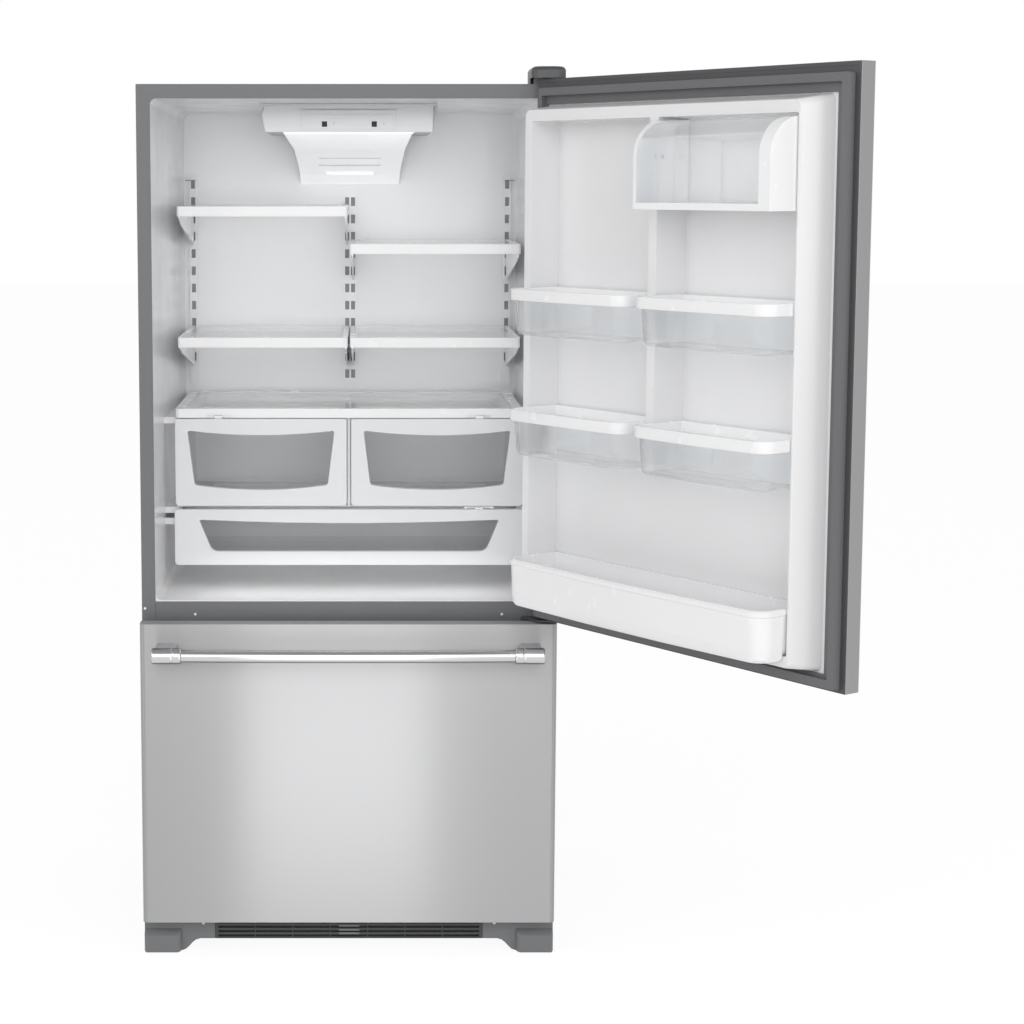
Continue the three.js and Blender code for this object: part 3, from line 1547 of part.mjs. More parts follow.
// ---------------------------------------------------------------- freezer drawer
const drawerFront = flangeY - doorProud;
const drawerBack = drawerFront + doorThickness;

function drawerSkin() {
  return pressedShell([-halfWidth, halfWidth], [drawerFront, drawerBack], [drawerBottom, drawerTop], doorLip);
}

function drawerLiner() {
  const edge = doorLip + seat;
  const plate = box([edge - halfWidth, halfWidth - edge], [drawerBack - 3, drawerBack], [
    drawerBottom + edge,
    drawerTop - edge,
  ]);
  const field = (grow) => [
    [fieldBorder - openingHalf - grow, openingHalf - fieldBorder + grow],
    [freezerFloor + fieldBorder - grow, freezerCeiling - fieldBorder + grow],
  ];
  const raised = loft([
    ring(rectangle(...field(linerReach / 2), 14), upright(drawerBack - 3)),
    ring(rectangle(...field(0), 14), upright(drawerBack + linerReach)),
  ]);
  const hollow = loft([
    ring(rectangle(...field(linerReach / 2 - 3), 14), upright(drawerBack - 4)),
    ring(rectangle(...field(-3), 14), upright(drawerBack + linerReach - 3)),
  ]);
  return cut(join(plate, raised), hollow);
}

function drawerGasket() {
  const outerHalf = halfWidth - 9;
  const [low, top] = [drawerBottom + 14, drawerTop - 10];
  const inner = openingHalf - 14;
  return gasketRing(
    [[-outerHalf, outerHalf], [low, top]],
    [[-inner, inner], [freezerFloor + 12, freezerCeiling - 12]],
    [[-outerHalf, outerHalf], [low, top]],
    [[gasketBulb - outerHalf, outerHalf - gasketBulb], [low + gasketBulb, top - gasketBulb]],
    drawerBack + seat,
    flangeY - seat,
  );
}

const frameFront = drawerBack + linerReach + seat;

// Steel runner frame fixed to the drawer front: two rails a side, uprights and a rear cross bar.
function drawerFrame() {
  const sides = mirrored((side) => {
    const rail = (low, back) =>
      box(span(side * runnerHalf, side * (runnerHalf - runnerWidth)), [frameFront, back], [
        low,
        low + runnerHeight,
      ]);
    const post = (y) =>
      box(span(side * runnerHalf, side * (runnerHalf - 3)), [y, y + 16], [lowerRunner, upperRunner + 4]);
    return join(
      rail(lowerRunner, frameBack),
      rail(upperRunner, frameBack),
      post(frameFront),
      post(frameBack - 16),
    );
  });
  const crossBar = box([-runnerHalf, runnerHalf], [frameBack - 6, frameBack], [
    lowerRunner,
    lowerRunner + runnerHeight,
  ]);
  return join(...sides, crossBar);
}

// A basket whose rim hangs on a pair of rails.
function basket(railZ, floorZ, [y0, y1]) {
  const rimZ = railZ + runnerHeight + seat;
  const half = runnerHalf - runnerWidth - 1;
  const level = (z, grow) =>
    ring(rectangle([-half - grow, half + grow], [y0 - grow, y1 + grow], 22), flat(z));
  const body = loft([level(floorZ, -basketTaper - 6), level(floorZ + 8, -basketTaper), level(rimZ + 3, 0)]);
  const hollow = loft([
    level(floorZ + basketWall, -basketTaper - 6 - basketWall),
    level(floorZ + 9, -basketTaper - basketWall),
    level(rimZ + 4, -basketWall),
  ]);
  const rim = alongZ(rectangle([-runnerHalf, runnerHalf], [y0 - 3, y1 + 3], 12), [rimZ, rimZ + 3]);
  const slots = repeat(7, (i) => {
    const x = (i - 3) * 84;
    return box([x - 26, x + 26], [y0 - 20, y0 + 20], [floorZ + 50, floorZ + 58]);
  });
  return cut(join(body, rim), hollow, ...slots);
}

const lowerBasketY = [frameFront + 20, frameBack - 20];
const trayY = [lowerBasketY[0], lowerBasketY[0] + trayDepth];

// ---------------------------------------------------------------- assembly
const refrigerator = new THREE.Group();
const cabinet = new THREE.Group();
const cooling = new THREE.Group();
const door = new THREE.Group();
const drawer = new THREE.Group();
refrigerator.add(cabinet, cooling, door, drawer);
door.position.set(hingeX, hingeY, 0);
door.rotation.z = THREE.MathUtils.degToRad(doorOpen);

addPiece(cabinet, "cabinet_shell", cabinetShell(), "cabinetGrey");
addPiece(cabinet, "back_panel", backPanel(), "cabinetGrey");
addPiece(cabinet, "fridge_liner", fridgeLiner(), "linerWhite");
addPiece(cabinet, "freezer_liner", freezerLiner(), "linerWhite");
addPiece(cabinet, "centre_rail", centreRail(), "cabinetGrey");
addPiece(cabinet, "control_housing", controlHousing(), "housingGrey");
addPiece(cabinet, "light_cover", lightCover(), "lens");
for (const [place, drop] of Object.entries(shelfDrops)) {
  const side = place.endsWith("left") ? -1 : 1;
  addPiece(cabinet, `shelf_frame_${place}`, shelfFrame(side, drop), "rimWhite");
  addPiece(cabinet, `shelf_glass_${place}`, shelfGlass(side, drop), "clear");
}
addPiece(cabinet, "crisper_cover", crisperCover(), "rimWhite");
addPiece(cabinet, "crisper_glass", crisperGlass(), "clear");
addPiece(cabinet, "pan_frame", panFrame(), "rimWhite");
addPiece(cabinet, "crisper_left", crisper(-1), "rimWhite");
addPiece(cabinet, "crisper_right", crisper(1), "rimWhite");
addPiece(cabinet, "deli_pan", deliPan(), "rimWhite");
const coverTab = [coverBottom - 1.6, coverBottom + 5];
addPiece(cabinet, "slider_tab_left", sliderTab(-tabFromMiddle, coverTab), "rimWhite");
addPiece(cabinet, "slider_tab_right", sliderTab(tabFromMiddle, coverTab), "rimWhite");
const deliTab = [deliTop + 0.6, deliTop + 4.6];
addPiece(cabinet, "slider_tab_deli", sliderTab(tabFromMiddle, deliTab), "rimWhite");
addPiece(cabinet, "top_hinge", topHinge(), "zincSteel");
addPiece(cabinet, "hinge_cover", hingeCover(), "hingeGrey");
addPiece(cabinet, "centre_hinge", centreHinge(), "hingeGrey");
addPiece(cabinet, "base_frame", baseFrame(), "zincSteel");
addPiece(cabinet, "base_grille", baseGrille(), "grilleBlack");
for (const [place, side] of [["left", -1], ["right", 1]]) {
  addPiece(cabinet, `foot_cover_${place}`, footCover(side), "baseGrey");
  addPiece(cabinet, `levelling_foot_${place}`, levellingFoot(side), "rubber");
  addPiece(cabinet, `rear_roller_${place}`, rearRoller(side), "rubber");
}

addPiece(
  cooling,
  "evaporator",
  finnedCoil(
    [-evaporatorHalf, evaporatorHalf],
    [evaporatorCoverY + 40, evaporatorCoverY + 40 + evaporatorDepth],
    [stepHeight + seat, fanHeight - fanRadius - 12],
    tubeRows,
    5,
  ),
  "finAluminium",
);
addPiece(cooling, "evaporator_cover", evaporatorCover(), "linerWhite");
addPiece(cooling, "evaporator_fan", fanRotor([0, evaporatorCoverY + 16, fanHeight]), "fanPlastic");
addPiece(cooling, "compressor", compressor(), "machineBlack");
addPiece(cooling, "condenser", condenser(), "finAluminium");
addPiece(
  cooling,
  "condenser_fan",
  fanRotor([condenserFanX, condenserY[1] + 16, condenserFanZ]),
  "fanPlastic",
);
addPiece(cooling, "rear_cover", rearCover(), "machineBlack");

addPiece(door, "door_skin", doorSkin(), "stainless");
addPiece(door, "door_liner", doorLiner(), "linerWhite");
addPiece(door, "door_gasket", doorGasket(), "gasket");
for (const [row, level] of Object.entries(binLevels)) {
  const room = pocketDraft + seat;
  const left = doorBin(pocketHinge + room, pocketRibLeft - room, level);
  const right = doorBin(pocketRibRight + room, pocketFree - room, level);
  addPiece(door, `door_bin_${row}_left`, left, "clear");
  addPiece(door, `door_bin_${row}_right`, right, "clear");
}
addPiece(
  door,
  "door_bin_bottom",
  bottomBin(pocketHinge + pocketDraft + seat, pocketFree - pocketDraft - seat),
  "rimWhite",
);
addPiece(door, "dairy_box", dairyBox(), "rimWhite");
addPiece(door, "dairy_lid", dairyLid(), "clear");
const doorHandle = addPiece(door, "door_handle", handle(), "stainless");
doorHandle.rotation.y = -Math.PI / 2;
doorHandle.position.set(
  doorFree + doorHandleInset,
  doorOuter,
  doorBottom + doorHandleRise + handleLength / 2,
);

addPiece(drawer, "drawer_skin", drawerSkin(), "stainless");
addPiece(drawer, "drawer_liner", drawerLiner(), "linerWhite");
addPiece(drawer, "drawer_gasket", drawerGasket(), "gasket");
addPiece(drawer, "drawer_frame", drawerFrame(), "zincSteel");
addPiece(drawer, "freezer_basket", basket(lowerRunner, basketFloor, lowerBasketY), "basketWhite");
addPiece(drawer, "upper_tray", basket(upperRunner, trayFloor, trayY), "basketWhite");
const drawerHandle = addPiece(drawer, "drawer_handle", handle(), "stainless");
drawerHandle.position.set(0, drawerFront, drawerTop - drawerHandleDrop);

export default refrigerator;
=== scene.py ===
"""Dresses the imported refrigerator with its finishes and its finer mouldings, and lights it."""
import json
import math

import bmesh
import bpy
from mathutils import Matrix, Vector


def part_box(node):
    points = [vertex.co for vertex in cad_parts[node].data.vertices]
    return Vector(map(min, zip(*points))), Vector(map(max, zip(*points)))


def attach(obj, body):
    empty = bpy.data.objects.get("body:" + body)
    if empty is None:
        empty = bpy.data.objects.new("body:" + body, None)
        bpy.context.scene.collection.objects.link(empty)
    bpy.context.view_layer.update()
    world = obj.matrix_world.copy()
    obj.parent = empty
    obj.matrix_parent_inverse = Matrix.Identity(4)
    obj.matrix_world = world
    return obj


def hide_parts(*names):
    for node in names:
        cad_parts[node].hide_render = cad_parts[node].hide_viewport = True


bl_info = {
    "name": "Bottom Freezer Refrigerator",
    "version": (1, 0, 0),
    "blender": (4, 5, 0),
    "location": "View3D > Sidebar > Refrigerator",
    "description": "Finishes and fine mouldings of a refrigerator with its door open",
    "category": "Object",
}

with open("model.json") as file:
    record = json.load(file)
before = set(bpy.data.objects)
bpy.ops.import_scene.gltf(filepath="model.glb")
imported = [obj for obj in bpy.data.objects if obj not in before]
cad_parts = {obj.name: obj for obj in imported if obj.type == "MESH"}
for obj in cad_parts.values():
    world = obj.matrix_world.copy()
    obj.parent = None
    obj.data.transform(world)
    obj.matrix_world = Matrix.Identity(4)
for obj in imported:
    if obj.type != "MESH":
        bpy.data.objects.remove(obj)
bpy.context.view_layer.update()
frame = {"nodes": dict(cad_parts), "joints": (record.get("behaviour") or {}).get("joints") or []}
NODES = frame["nodes"]
JOINTS = {joint["name"]: joint for joint in frame["joints"]}
MM = 0.001  # the modelling helpers take millimetres, and the frame is in metres

# The door's own frame: shut, with its hinge axis at the origin and the food side towards +Y.
HINGE = Vector(JOINTS["door_hinge"]["pos_m"][:2] + [0.0])
DOOR_OPEN = math.radians(-JOINTS["door_hinge"]["range_deg"][0])
DOOR = Matrix.Translation(HINGE) @ Matrix.Rotation(DOOR_OPEN, 4, "Z")
DOOR_INNER = 13  # the liner's flat face, in millimetres
DOOR_FREE = -807.5  # the free edge, in millimetres
POCKETS = {"left": (35.3, 364.7), "right": (390.3, 726.7)}  # millimetres from the hinge

# The food compartment: its back wall, and the plane that the pans' fronts stand in.
SHELF_WALL = 0.201
PANS_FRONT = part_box("crisper_left")[0].y / MM
PAN_FRONT_THICKNESS = 14

# Shared modelling values.
WELD_DISTANCE = 0.02 * MM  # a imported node's loose triangles join within this
ROUNDED_ABOVE = math.radians(32)  # an edge that turns by more than this is rounded
FLAT_WITHIN = math.radians(0.6)  # faces that differ by less are one flat
NOISE_ROUGHNESS = 0.55
NOISE_REACH = (0.3, 0.7)  # where most of a noise's values lie
BUMP_STRENGTH = 0.35


# ---------------------------------------------------------------- colours and nodes
def linear(colour):
    """An sRGB hex colour as linear RGBA."""
    channels = [int(colour[i : i + 2], 16) / 255 for i in (1, 3, 5)]
    return [c / 12.92 if c <= 0.04045 else ((c + 0.055) / 1.055) ** 2.4 for c in channels] + [1.0]


def add_node(tree, kind, values=None, links=None, **settings):
    """Adds one node with its settings, its sockets' values and its links."""
    made = tree.nodes.new(kind)
    for name, value in settings.items():
        setattr(made, name, value)
    for socket, value in (values or {}).items():
        made.inputs[socket].default_value = value
    for socket, source in (links or {}).items():
        tree.links.new(source, made.inputs[socket])
    return made


def blank(name, base, roughness, metallic=0.0, **sockets):
    """A material with one Principled shader, given with all that grained needs to finish it."""
    material = bpy.data.materials.new(name)
    material.use_nodes = True
    material.diffuse_color = linear(base)
    tree = material.node_tree
    shader = tree.nodes["Principled BSDF"]
    shader.inputs["Base Color"].default_value = linear(base)
    shader.inputs["Roughness"].default_value = roughness
    shader.inputs["Metallic"].default_value = metallic
    for socket, value in sockets.items():
        shader.inputs[socket.replace("_", " ")].default_value = value
    place = add_node(tree, "ShaderNodeTexCoord").outputs["Object"]
    return material, tree, shader, place, base


def grained(material, tree, shader, place, base, size, detail, depth, shift, rough):
    """Noise with grains of a size in millimetres moves colour, roughness and surface a little."""
    sized = add_node(
        tree, "ShaderNodeMapping", {"Scale": [1 / (side * MM) for side in size]}, {"Vector": place}
    )
    noise = add_node(
        tree,
        "ShaderNodeTexNoise",
        {"Scale": 1.0, "Detail": detail, "Roughness": NOISE_ROUGHNESS},
        {"Vector": sized.outputs[0]},
    )
    grain = noise.outputs["Fac"]
    tint = add_node(tree, "ShaderNodeMix", links={"Factor": grain}, data_type="RGBA")
    for socket, sign in (("A", -1), ("B", 1)):
        tone = [c * (1 + sign * shift) for c in linear(base)[:3]] + [1.0]
        colour = next(i for i in tint.inputs if i.name == socket and i.type == "RGBA")
        colour.default_value = tone
    mixed = next(output for output in tint.outputs if output.type == "RGBA")
    tree.links.new(mixed, shader.inputs["Base Color"])
    low, high = NOISE_REACH
    gloss = add_node(
        tree,
        "ShaderNodeMapRange",
        {"From Min": low, "From Max": high, "To Min": rough[0], "To Max": rough[1]},
        {"Value": grain},
    )
    tree.links.new(gloss.outputs[0], shader.inputs["Roughness"])
    bump = add_node(
        tree,
        "ShaderNodeBump",
        {"Strength": BUMP_STRENGTH, "Distance": depth * MM},
        {"Height": grain},
    )
    tree.links.new(bump.outputs[0], shader.inputs["Normal"])
    return material


# ---------------------------------------------------------------- finishes
def enamelled_steel():
    """Grey enamel sprayed on steel sheet: an even satin with a faint orange peel 3 mm across."""
    made = blank("enamelled_steel", "#6D6E70", 0.42, Specular_IOR_Level=0.45)
    return grained(*made, (3, 3, 3), detail=2, depth=0.05, shift=0.02, rough=(0.38, 0.46))


def brushed_stainless():
    """Stainless sheet, brushed upright: fine streaks that pull highlights sideways.

    Real streaks are finer than a pixel, so they are drawn 0.9 mm wide.
    """
    made = blank(
        "brushed_stainless", "#A5A5A6", 0.4, 1.0, Anisotropic=0.9, Anisotropic_Rotation=0.25
    )
    return grained(*made, (0.9, 0.9, 160), detail=5, depth=0.012, shift=0.03, rough=(0.37, 0.43))


def polished_stainless():
    """Turned and polished stainless bar: bright in the middle, and darker where it turns away."""
    made = blank("polished_stainless", "#CDCDCE", 0.22, 1.0, Specular_Tint=linear("#505050"))
    return grained(*made, (60, 1.2, 1.2), detail=1, depth=0.001, shift=0.02, rough=(0.2, 0.24))


def satin_zinc_casting():
    """Zinc casting, plated and satin finished: a soft pale metal that also scatters light."""
    made = blank("satin_zinc_casting", "#B9BABB", 0.42, 0.5)
    return grained(*made, (1.5, 1.5, 1.5), detail=2, depth=0.02, shift=0.02, rough=(0.38, 0.46))


def vacuum_formed_styrene():
    """High impact polystyrene sheet drawn over a mould: white, soft gloss, faintly wavy."""
    made = blank("vacuum_formed_styrene", "#EAEAEB", 0.2, Specular_IOR_Level=0.5)
    return grained(*made, (90, 90, 90), detail=3, depth=0.8, shift=0.008, rough=(0.17, 0.23))


def moulded_abs():
    """White ABS from a polished mould: glossy, with a faint flow pattern."""
    made = blank("moulded_abs", "#F3F3F4", 0.24, Specular_IOR_Level=0.5)
    return grained(*made, (40, 40, 40), detail=2, depth=0.3, shift=0.006, rough=(0.2, 0.28))


def satin_abs():
    """White ABS of the pans' fronts, moulded satin: a shade greyer than the glossy rims."""
    made = blank("satin_abs", "#E3E4E5", 0.34, Specular_IOR_Level=0.5)
    return grained(*made, (30, 30, 30), detail=2, depth=0.2, shift=0.006, rough=(0.3, 0.38))


def textured_abs():
    """Light grey ABS with a spark eroded texture, drawn as 1.5 mm grains so that it shows."""
    made = blank("textured_abs", "#CBCCCE", 0.48)
    return grained(*made, (1.5, 1.5, 1.5), detail=3, depth=0.05, shift=0.012, rough=(0.42, 0.54))


def diffusing_acrylic():
    """Opal acrylic light cover: milky white, with a soft sheen and the lamps' glow behind it."""
    glow = {"Emission_Strength": 0.26, "Emission_Color": linear("#FFFFFF")}
    made = blank("diffusing_acrylic", "#F1F2F3", 0.4, **glow)
    return grained(*made, (2, 2, 2), detail=2, depth=0.04, shift=0.006, rough=(0.36, 0.44))


def clear_styrene():
    """Crystal styrene, injection moulded: clear, faintly grey, with slow waves from the mould."""
    made = blank("clear_styrene", "#F7F9FA", 0.06, Transmission_Weight=1.0, IOR=1.2, Alpha=0.45)
    return grained(*made, (55, 55, 55), detail=2, depth=0.5, shift=0.008, rough=(0.05, 0.1))


def clear_pan_styrene():
    """Crystal styrene of the pans: the same plastic in a thinner wall, so it takes less light."""
    made = blank(
        "clear_pan_styrene", "#FAFBFB", 0.06, Transmission_Weight=1.0, IOR=1.15, Alpha=0.25
    )
    return grained(*made, (55, 55, 55), detail=2, depth=0.5, shift=0.008, rough=(0.05, 0.1))


def tempered_glass():
    """Float glass, tempered: clear with a cool tint that the edges gather."""
    made = blank("tempered_glass", "#F1F6F5", 0.03, Transmission_Weight=1.0, IOR=1.3, Alpha=0.5)
    return grained(*made, (200, 200, 200), detail=1, depth=0.2, shift=0.01, rough=(0.02, 0.05))


def black_display():
    """Smoked acrylic over an unlit display: near black and glossy."""
    made = blank("black_display", "#141517", 0.3, Specular_IOR_Level=0.3)
    return grained(*made, (8, 8, 8), detail=1, depth=0.01, shift=0.03, rough=(0.26, 0.34))


def extruded_vinyl():
    """Soft grey vinyl, extruded: matt, with fine lengthways variation."""
    made = blank("extruded_vinyl", "#69696B", 0.58)
    return grained(*made, (14, 14, 14), detail=3, depth=0.12, shift=0.03, rough=(0.52, 0.66))


def dark_enamel_and_shade():
    """Dark grey enamel on a pressed hinge: satin, with a fine texture; it also paints the shadow
    gap along the door panel's flange.
    """
    made = blank("dark_enamel_and_shade", "#4A4B4D", 0.42)
    return grained(*made, (1.6, 1.6, 1.6), detail=3, depth=0.05, shift=0.03, rough=(0.36, 0.48))


def painted_shading_grey():
    """Zinc plated steel seen down a slot, darkened to a dull mid grey as painted shade; it also
    paints shadow lines and shaded or lit faces.
    """
    made = blank("painted_shading_grey", "#949597", 0.6)
    return grained(*made, (4, 4, 4), detail=2, depth=0.02, shift=0.04, rough=(0.55, 0.65))


def zinc_coat():
    """Galvanised sheet: pale metal with the zinc's crystals, drawn 12 mm across."""
    made = blank("zinc_coat", "#A9ACAF", 0.42, 0.85)
    return grained(*made, (12, 12, 12), detail=4, depth=0.04, shift=0.1, rough=(0.34, 0.52))


def grained_polypropylene():
    """Grey polypropylene with a moulded grain: matt, lighter where it has been rubbed."""
    made = blank("grained_polypropylene", "#707173", 0.55)
    return grained(*made, (1.8, 1.8, 1.8), detail=4, depth=0.08, shift=0.035, rough=(0.5, 0.62))


def black_polypropylene():
    """Black polypropylene grille: matt."""
    made = blank("black_polypropylene", "#3A3B3C", 0.5)
    return grained(*made, (2, 2, 2), detail=3, depth=0.05, shift=0.05, rough=(0.44, 0.58))


def moulded_rubber():
    """Black rubber feet and treads: dull, dusty in the grain."""
    made = blank("moulded_rubber", "#262627", 0.8)
    return grained(*made, (2.5, 2.5, 2.5), detail=4, depth=0.15, shift=0.12, rough=(0.72, 0.88))


def black_enamel_and_shade():
    """Thick black enamel on the compressor's pressed shell and the rear cover; it also paints the
    shade behind the grille's slots.
    """
    made = blank("black_enamel_and_shade", "#202123", 0.38, Coat_Weight=0.2)
    return grained(*made, (5, 5, 5), detail=3, depth=0.12, shift=0.06, rough=(0.32, 0.46))


def bare_aluminium():
    """Rolled aluminium fins: pale and slightly streaked."""
    made = blank("bare_aluminium", "#BFC3C6", 0.34, 1.0)
    return grained(*made, (20, 20, 2), detail=3, depth=0.02, shift=0.06, rough=(0.28, 0.42))


def fan_nylon():
    """Dark glass filled nylon: matt, mottled by the fibre."""
    made = blank("fan_nylon", "#3C3D3F", 0.55)
    return grained(*made, (3, 3, 3), detail=4, depth=0.06, shift=0.08, rough=(0.48, 0.62))


def white_polyethylene():
    """White polyethylene basket: waxy, with a little light below its skin."""
    made = blank(
        "white_polyethylene", "#EDEFF0", 0.42, Subsurface_Weight=0.15, Subsurface_Scale=0.006
    )
    return grained(*made, (30, 30, 30), detail=2, depth=0.2, shift=0.01, rough=(0.38, 0.46))


FINISHES = {
    maker.__name__: maker
    for maker in (
        enamelled_steel,
        brushed_stainless,
        polished_stainless,
        satin_zinc_casting,
        vacuum_formed_styrene,
        moulded_abs,
        satin_abs,
        textured_abs,
        diffusing_acrylic,
        clear_styrene,
        clear_pan_styrene,
        tempered_glass,
        black_display,
        extruded_vinyl,
        dark_enamel_and_shade,
        painted_shading_grey,
        zinc_coat,
        grained_polypropylene,
        black_polypropylene,
        moulded_rubber,
        black_enamel_and_shade,
        bare_aluminium,
        fan_nylon,
        white_polyethylene,
    )
}


def finish(name):
    """The finished material of that name, made the first time it is asked for."""
    return bpy.data.materials.get(name) or FINISHES[name]()


# ---------------------------------------------------------------- shared modelling steps
def soften(piece, width, segments=2):
    """Rounds a piece's edges by some millimetres and keeps its flats flat.

    A width of 0 keeps the edges, and None leaves a turned piece smooth all round.
    """
    weld = piece.modifiers.new("merge", "WELD")
    weld.merge_threshold = WELD_DISTANCE
    if width:
        bevel = piece.modifiers.new("round", "BEVEL")
        bevel.limit_method = "ANGLE"
        bevel.angle_limit = ROUNDED_ABOVE
        bevel.width = width * MM
        bevel.segments = segments
        bevel.use_clamp_overlap = True
        bevel.harden_normals = False
    if width is not None:
        normals = piece.modifiers.new("flats", "WEIGHTED_NORMAL")
        normals.keep_sharp = False
        normals.weight = 90


def shade(piece):
    """Smooth shading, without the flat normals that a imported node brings."""
    mesh = piece.data
    mesh.polygons.foreach_set("use_smooth", [True] * len(mesh.polygons))
    if "custom_normal" in mesh.attributes:
        mesh.attributes.remove(mesh.attributes["custom_normal"])
    mesh.update()


def paint(piece, material):
    """Gives a piece one material."""
    piece.data.materials.clear()
    piece.data.materials.append(finish(material))


def repaint(piece, material, chosen):
    """Gives a further material to the polygons that a test picks by normal and corners."""
    mesh = piece.data
    mesh.materials.append(finish(material))
    for polygon in mesh.polygons:
        if chosen(polygon.normal, [mesh.vertices[i].co for i in polygon.vertices]):
            polygon.material_index = len(mesh.materials) - 1


def dress(node, material, width=0.8, segments=2):
    """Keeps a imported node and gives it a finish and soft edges."""
    piece = NODES[node]
    paint(piece, material)
    shade(piece)
    soften(piece, width, segments)
    return piece


def merged_copy(node):
    """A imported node's shape as one mesh with large flat faces, to be worked on."""
    bm = bmesh.new()
    bm.from_mesh(NODES[node].data)
    bmesh.ops.remove_doubles(bm, verts=bm.verts, dist=WELD_DISTANCE)
    bmesh.ops.dissolve_limit(
        bm, angle_limit=FLAT_WITHIN, verts=bm.verts, edges=bm.edges, delimit=set()
    )
    return bm


def keep(bm, name, body, material, replaces=(), matrix=None, width=0.0, segments=2):
    """Turns a finished bmesh into a named piece that rides on a body."""
    if matrix is not None:
        bmesh.ops.transform(bm, matrix=matrix, verts=bm.verts)
    bmesh.ops.remove_doubles(bm, verts=bm.verts, dist=0.005 * MM)
    bmesh.ops.recalc_face_normals(bm, faces=bm.faces)
    mesh = bpy.data.meshes.new(name)
    bm.to_mesh(mesh)
    bm.free()
    piece = bpy.data.objects.new(name, mesh)
    bpy.context.scene.collection.objects.link(piece)
    paint(piece, material)
    shade(piece)
    soften(piece, width, segments)
    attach(piece, body)
    if replaces:
        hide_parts(*replaces)
    return piece


def plate(bm, corners, radii, segments=6):
    """A flat face through some corners in millimetres, each rounded by its own radius."""
    known = set(bm.faces)
    verts = [bm.verts.new(Vector(corner) * MM) for corner in corners]
    bm.faces.new(verts)
    for vert, radius in zip(verts, radii):
        if radius:
            bmesh.ops.bevel(
                bm,
                geom=[vert],
                offset=radius * MM,
                segments=segments,
                profile=0.5,
                affect="VERTICES",
                material=-1,
            )
    return next(face for face in bm.faces if face not in known)


def curve_edge(bm, face, level, rise):
    """Bends the longest edge of an upright face at a height into a shallow curve."""
    edges = [e for e in face.edges if all(abs(v.co.z - level * MM) < 0.1 * MM for v in e.verts)]
    edge = max(edges, key=lambda e: e.calc_length())
    ends = [v.co.x for v in edge.verts]
    middle, half = sum(ends) / 2, abs(ends[0] - ends[1]) / 2
    made = bmesh.ops.subdivide_edges(bm, edges=[edge], cuts=12)["geom_inner"]
    for vert in (item for item in made if isinstance(item, bmesh.types.BMVert)):
        vert.co.z += rise * MM * (1 - ((vert.co.x - middle) / half) ** 2)


def block(bm, x, y, z):
    """A box between two corners in millimetres."""
    size = [(high - low) * MM for low, high in (x, y, z)]
    centre = [(high + low) / 2 * MM for low, high in (x, y, z)]
    made = bmesh.ops.create_cube(bm, size=1.0)["verts"]
    bmesh.ops.scale(bm, vec=size, verts=made)
    bmesh.ops.translate(bm, vec=centre, verts=made)
    return made


def push(bm, faces, vector):
    """Extrudes faces along a vector in millimetres and gives the moved faces."""
    edges = dict.fromkeys(edge for face in faces for edge in face.edges)
    made = bmesh.ops.extrude_face_region(bm, geom=[*faces, *edges])["geom"]
    verts = [item for item in made if isinstance(item, bmesh.types.BMVert)]
    bmesh.ops.translate(bm, vec=Vector(vector) * MM, verts=verts)
    return [item for item in made if isinstance(item, bmesh.types.BMFace)]


def bevel_edges(bm, edges, radius, segments):
    """Rounds edges to a radius in millimetres."""
    return bmesh.ops.bevel(
        bm,
        geom=list(edges),
        offset=radius * MM,
        segments=segments,
        profile=0.5,
        affect="EDGES",
        clamp_overlap=True,
        material=-1,
    )


def inset(bm, face, thickness):
    """Shrinks a face inside a border of that thickness in millimetres."""
    bmesh.ops.inset_region(
        bm, faces=[face], thickness=thickness * MM, use_even_offset=True, use_boundary=True
    )


def spread(verts, amount):
    """Moves vertices level and outwards from their middle by some millimetres, or inwards."""
    verts = list(verts)
    lows = [min(v.co[i] for v in verts) for i in (0, 1)]
    highs = [max(v.co[i] for v in verts) for i in (0, 1)]
    for vert in verts:
        for i in (0, 1):
            middle, half = (highs[i] + lows[i]) / 2, (highs[i] - lows[i]) / 2
            vert.co[i] += (vert.co[i] - middle) / half * amount * MM


def revolve(bm, profile, centre, axis, steps):
    """Spins a profile of (radius, distance along the axis) pairs in millimetres round an axis."""
    along = Vector([float(axis == letter) for letter in "xyz"])
    out = Vector((0, 0, 1)) if axis == "x" else Vector((1, 0, 0))
    middle = Vector(centre) * MM
    verts = [bm.verts.new(middle + (out * r + along * h) * MM) for r, h in profile]
    edges = [bm.edges.new(pair) for pair in zip(verts, verts[1:])]
    bmesh.ops.spin(
        bm,
        geom=verts + edges,
        cent=middle,
        axis=along,
        angle=math.tau,
        steps=steps,
        use_merge=True,
    )
    bmesh.ops.remove_doubles(bm, verts=bm.verts, dist=0.01 * MM)


def hollow(bm, foot, height, wall, taper, foot_radius):
    """Raises a tapering tub on a level face: walls, a rounded foot and an open top."""
    top = push(bm, [foot], (0, 0, height))[0]
    spread(top.verts, taper)
    inset(bm, top, wall)
    floor = push(bm, [top], (0, 0, wall - height))[0]
    spread(floor.verts, -taper)
    bevel_edges(bm, foot.edges, foot_radius, 4)
    bevel_edges(bm, floor.edges, foot_radius - wall, 4)


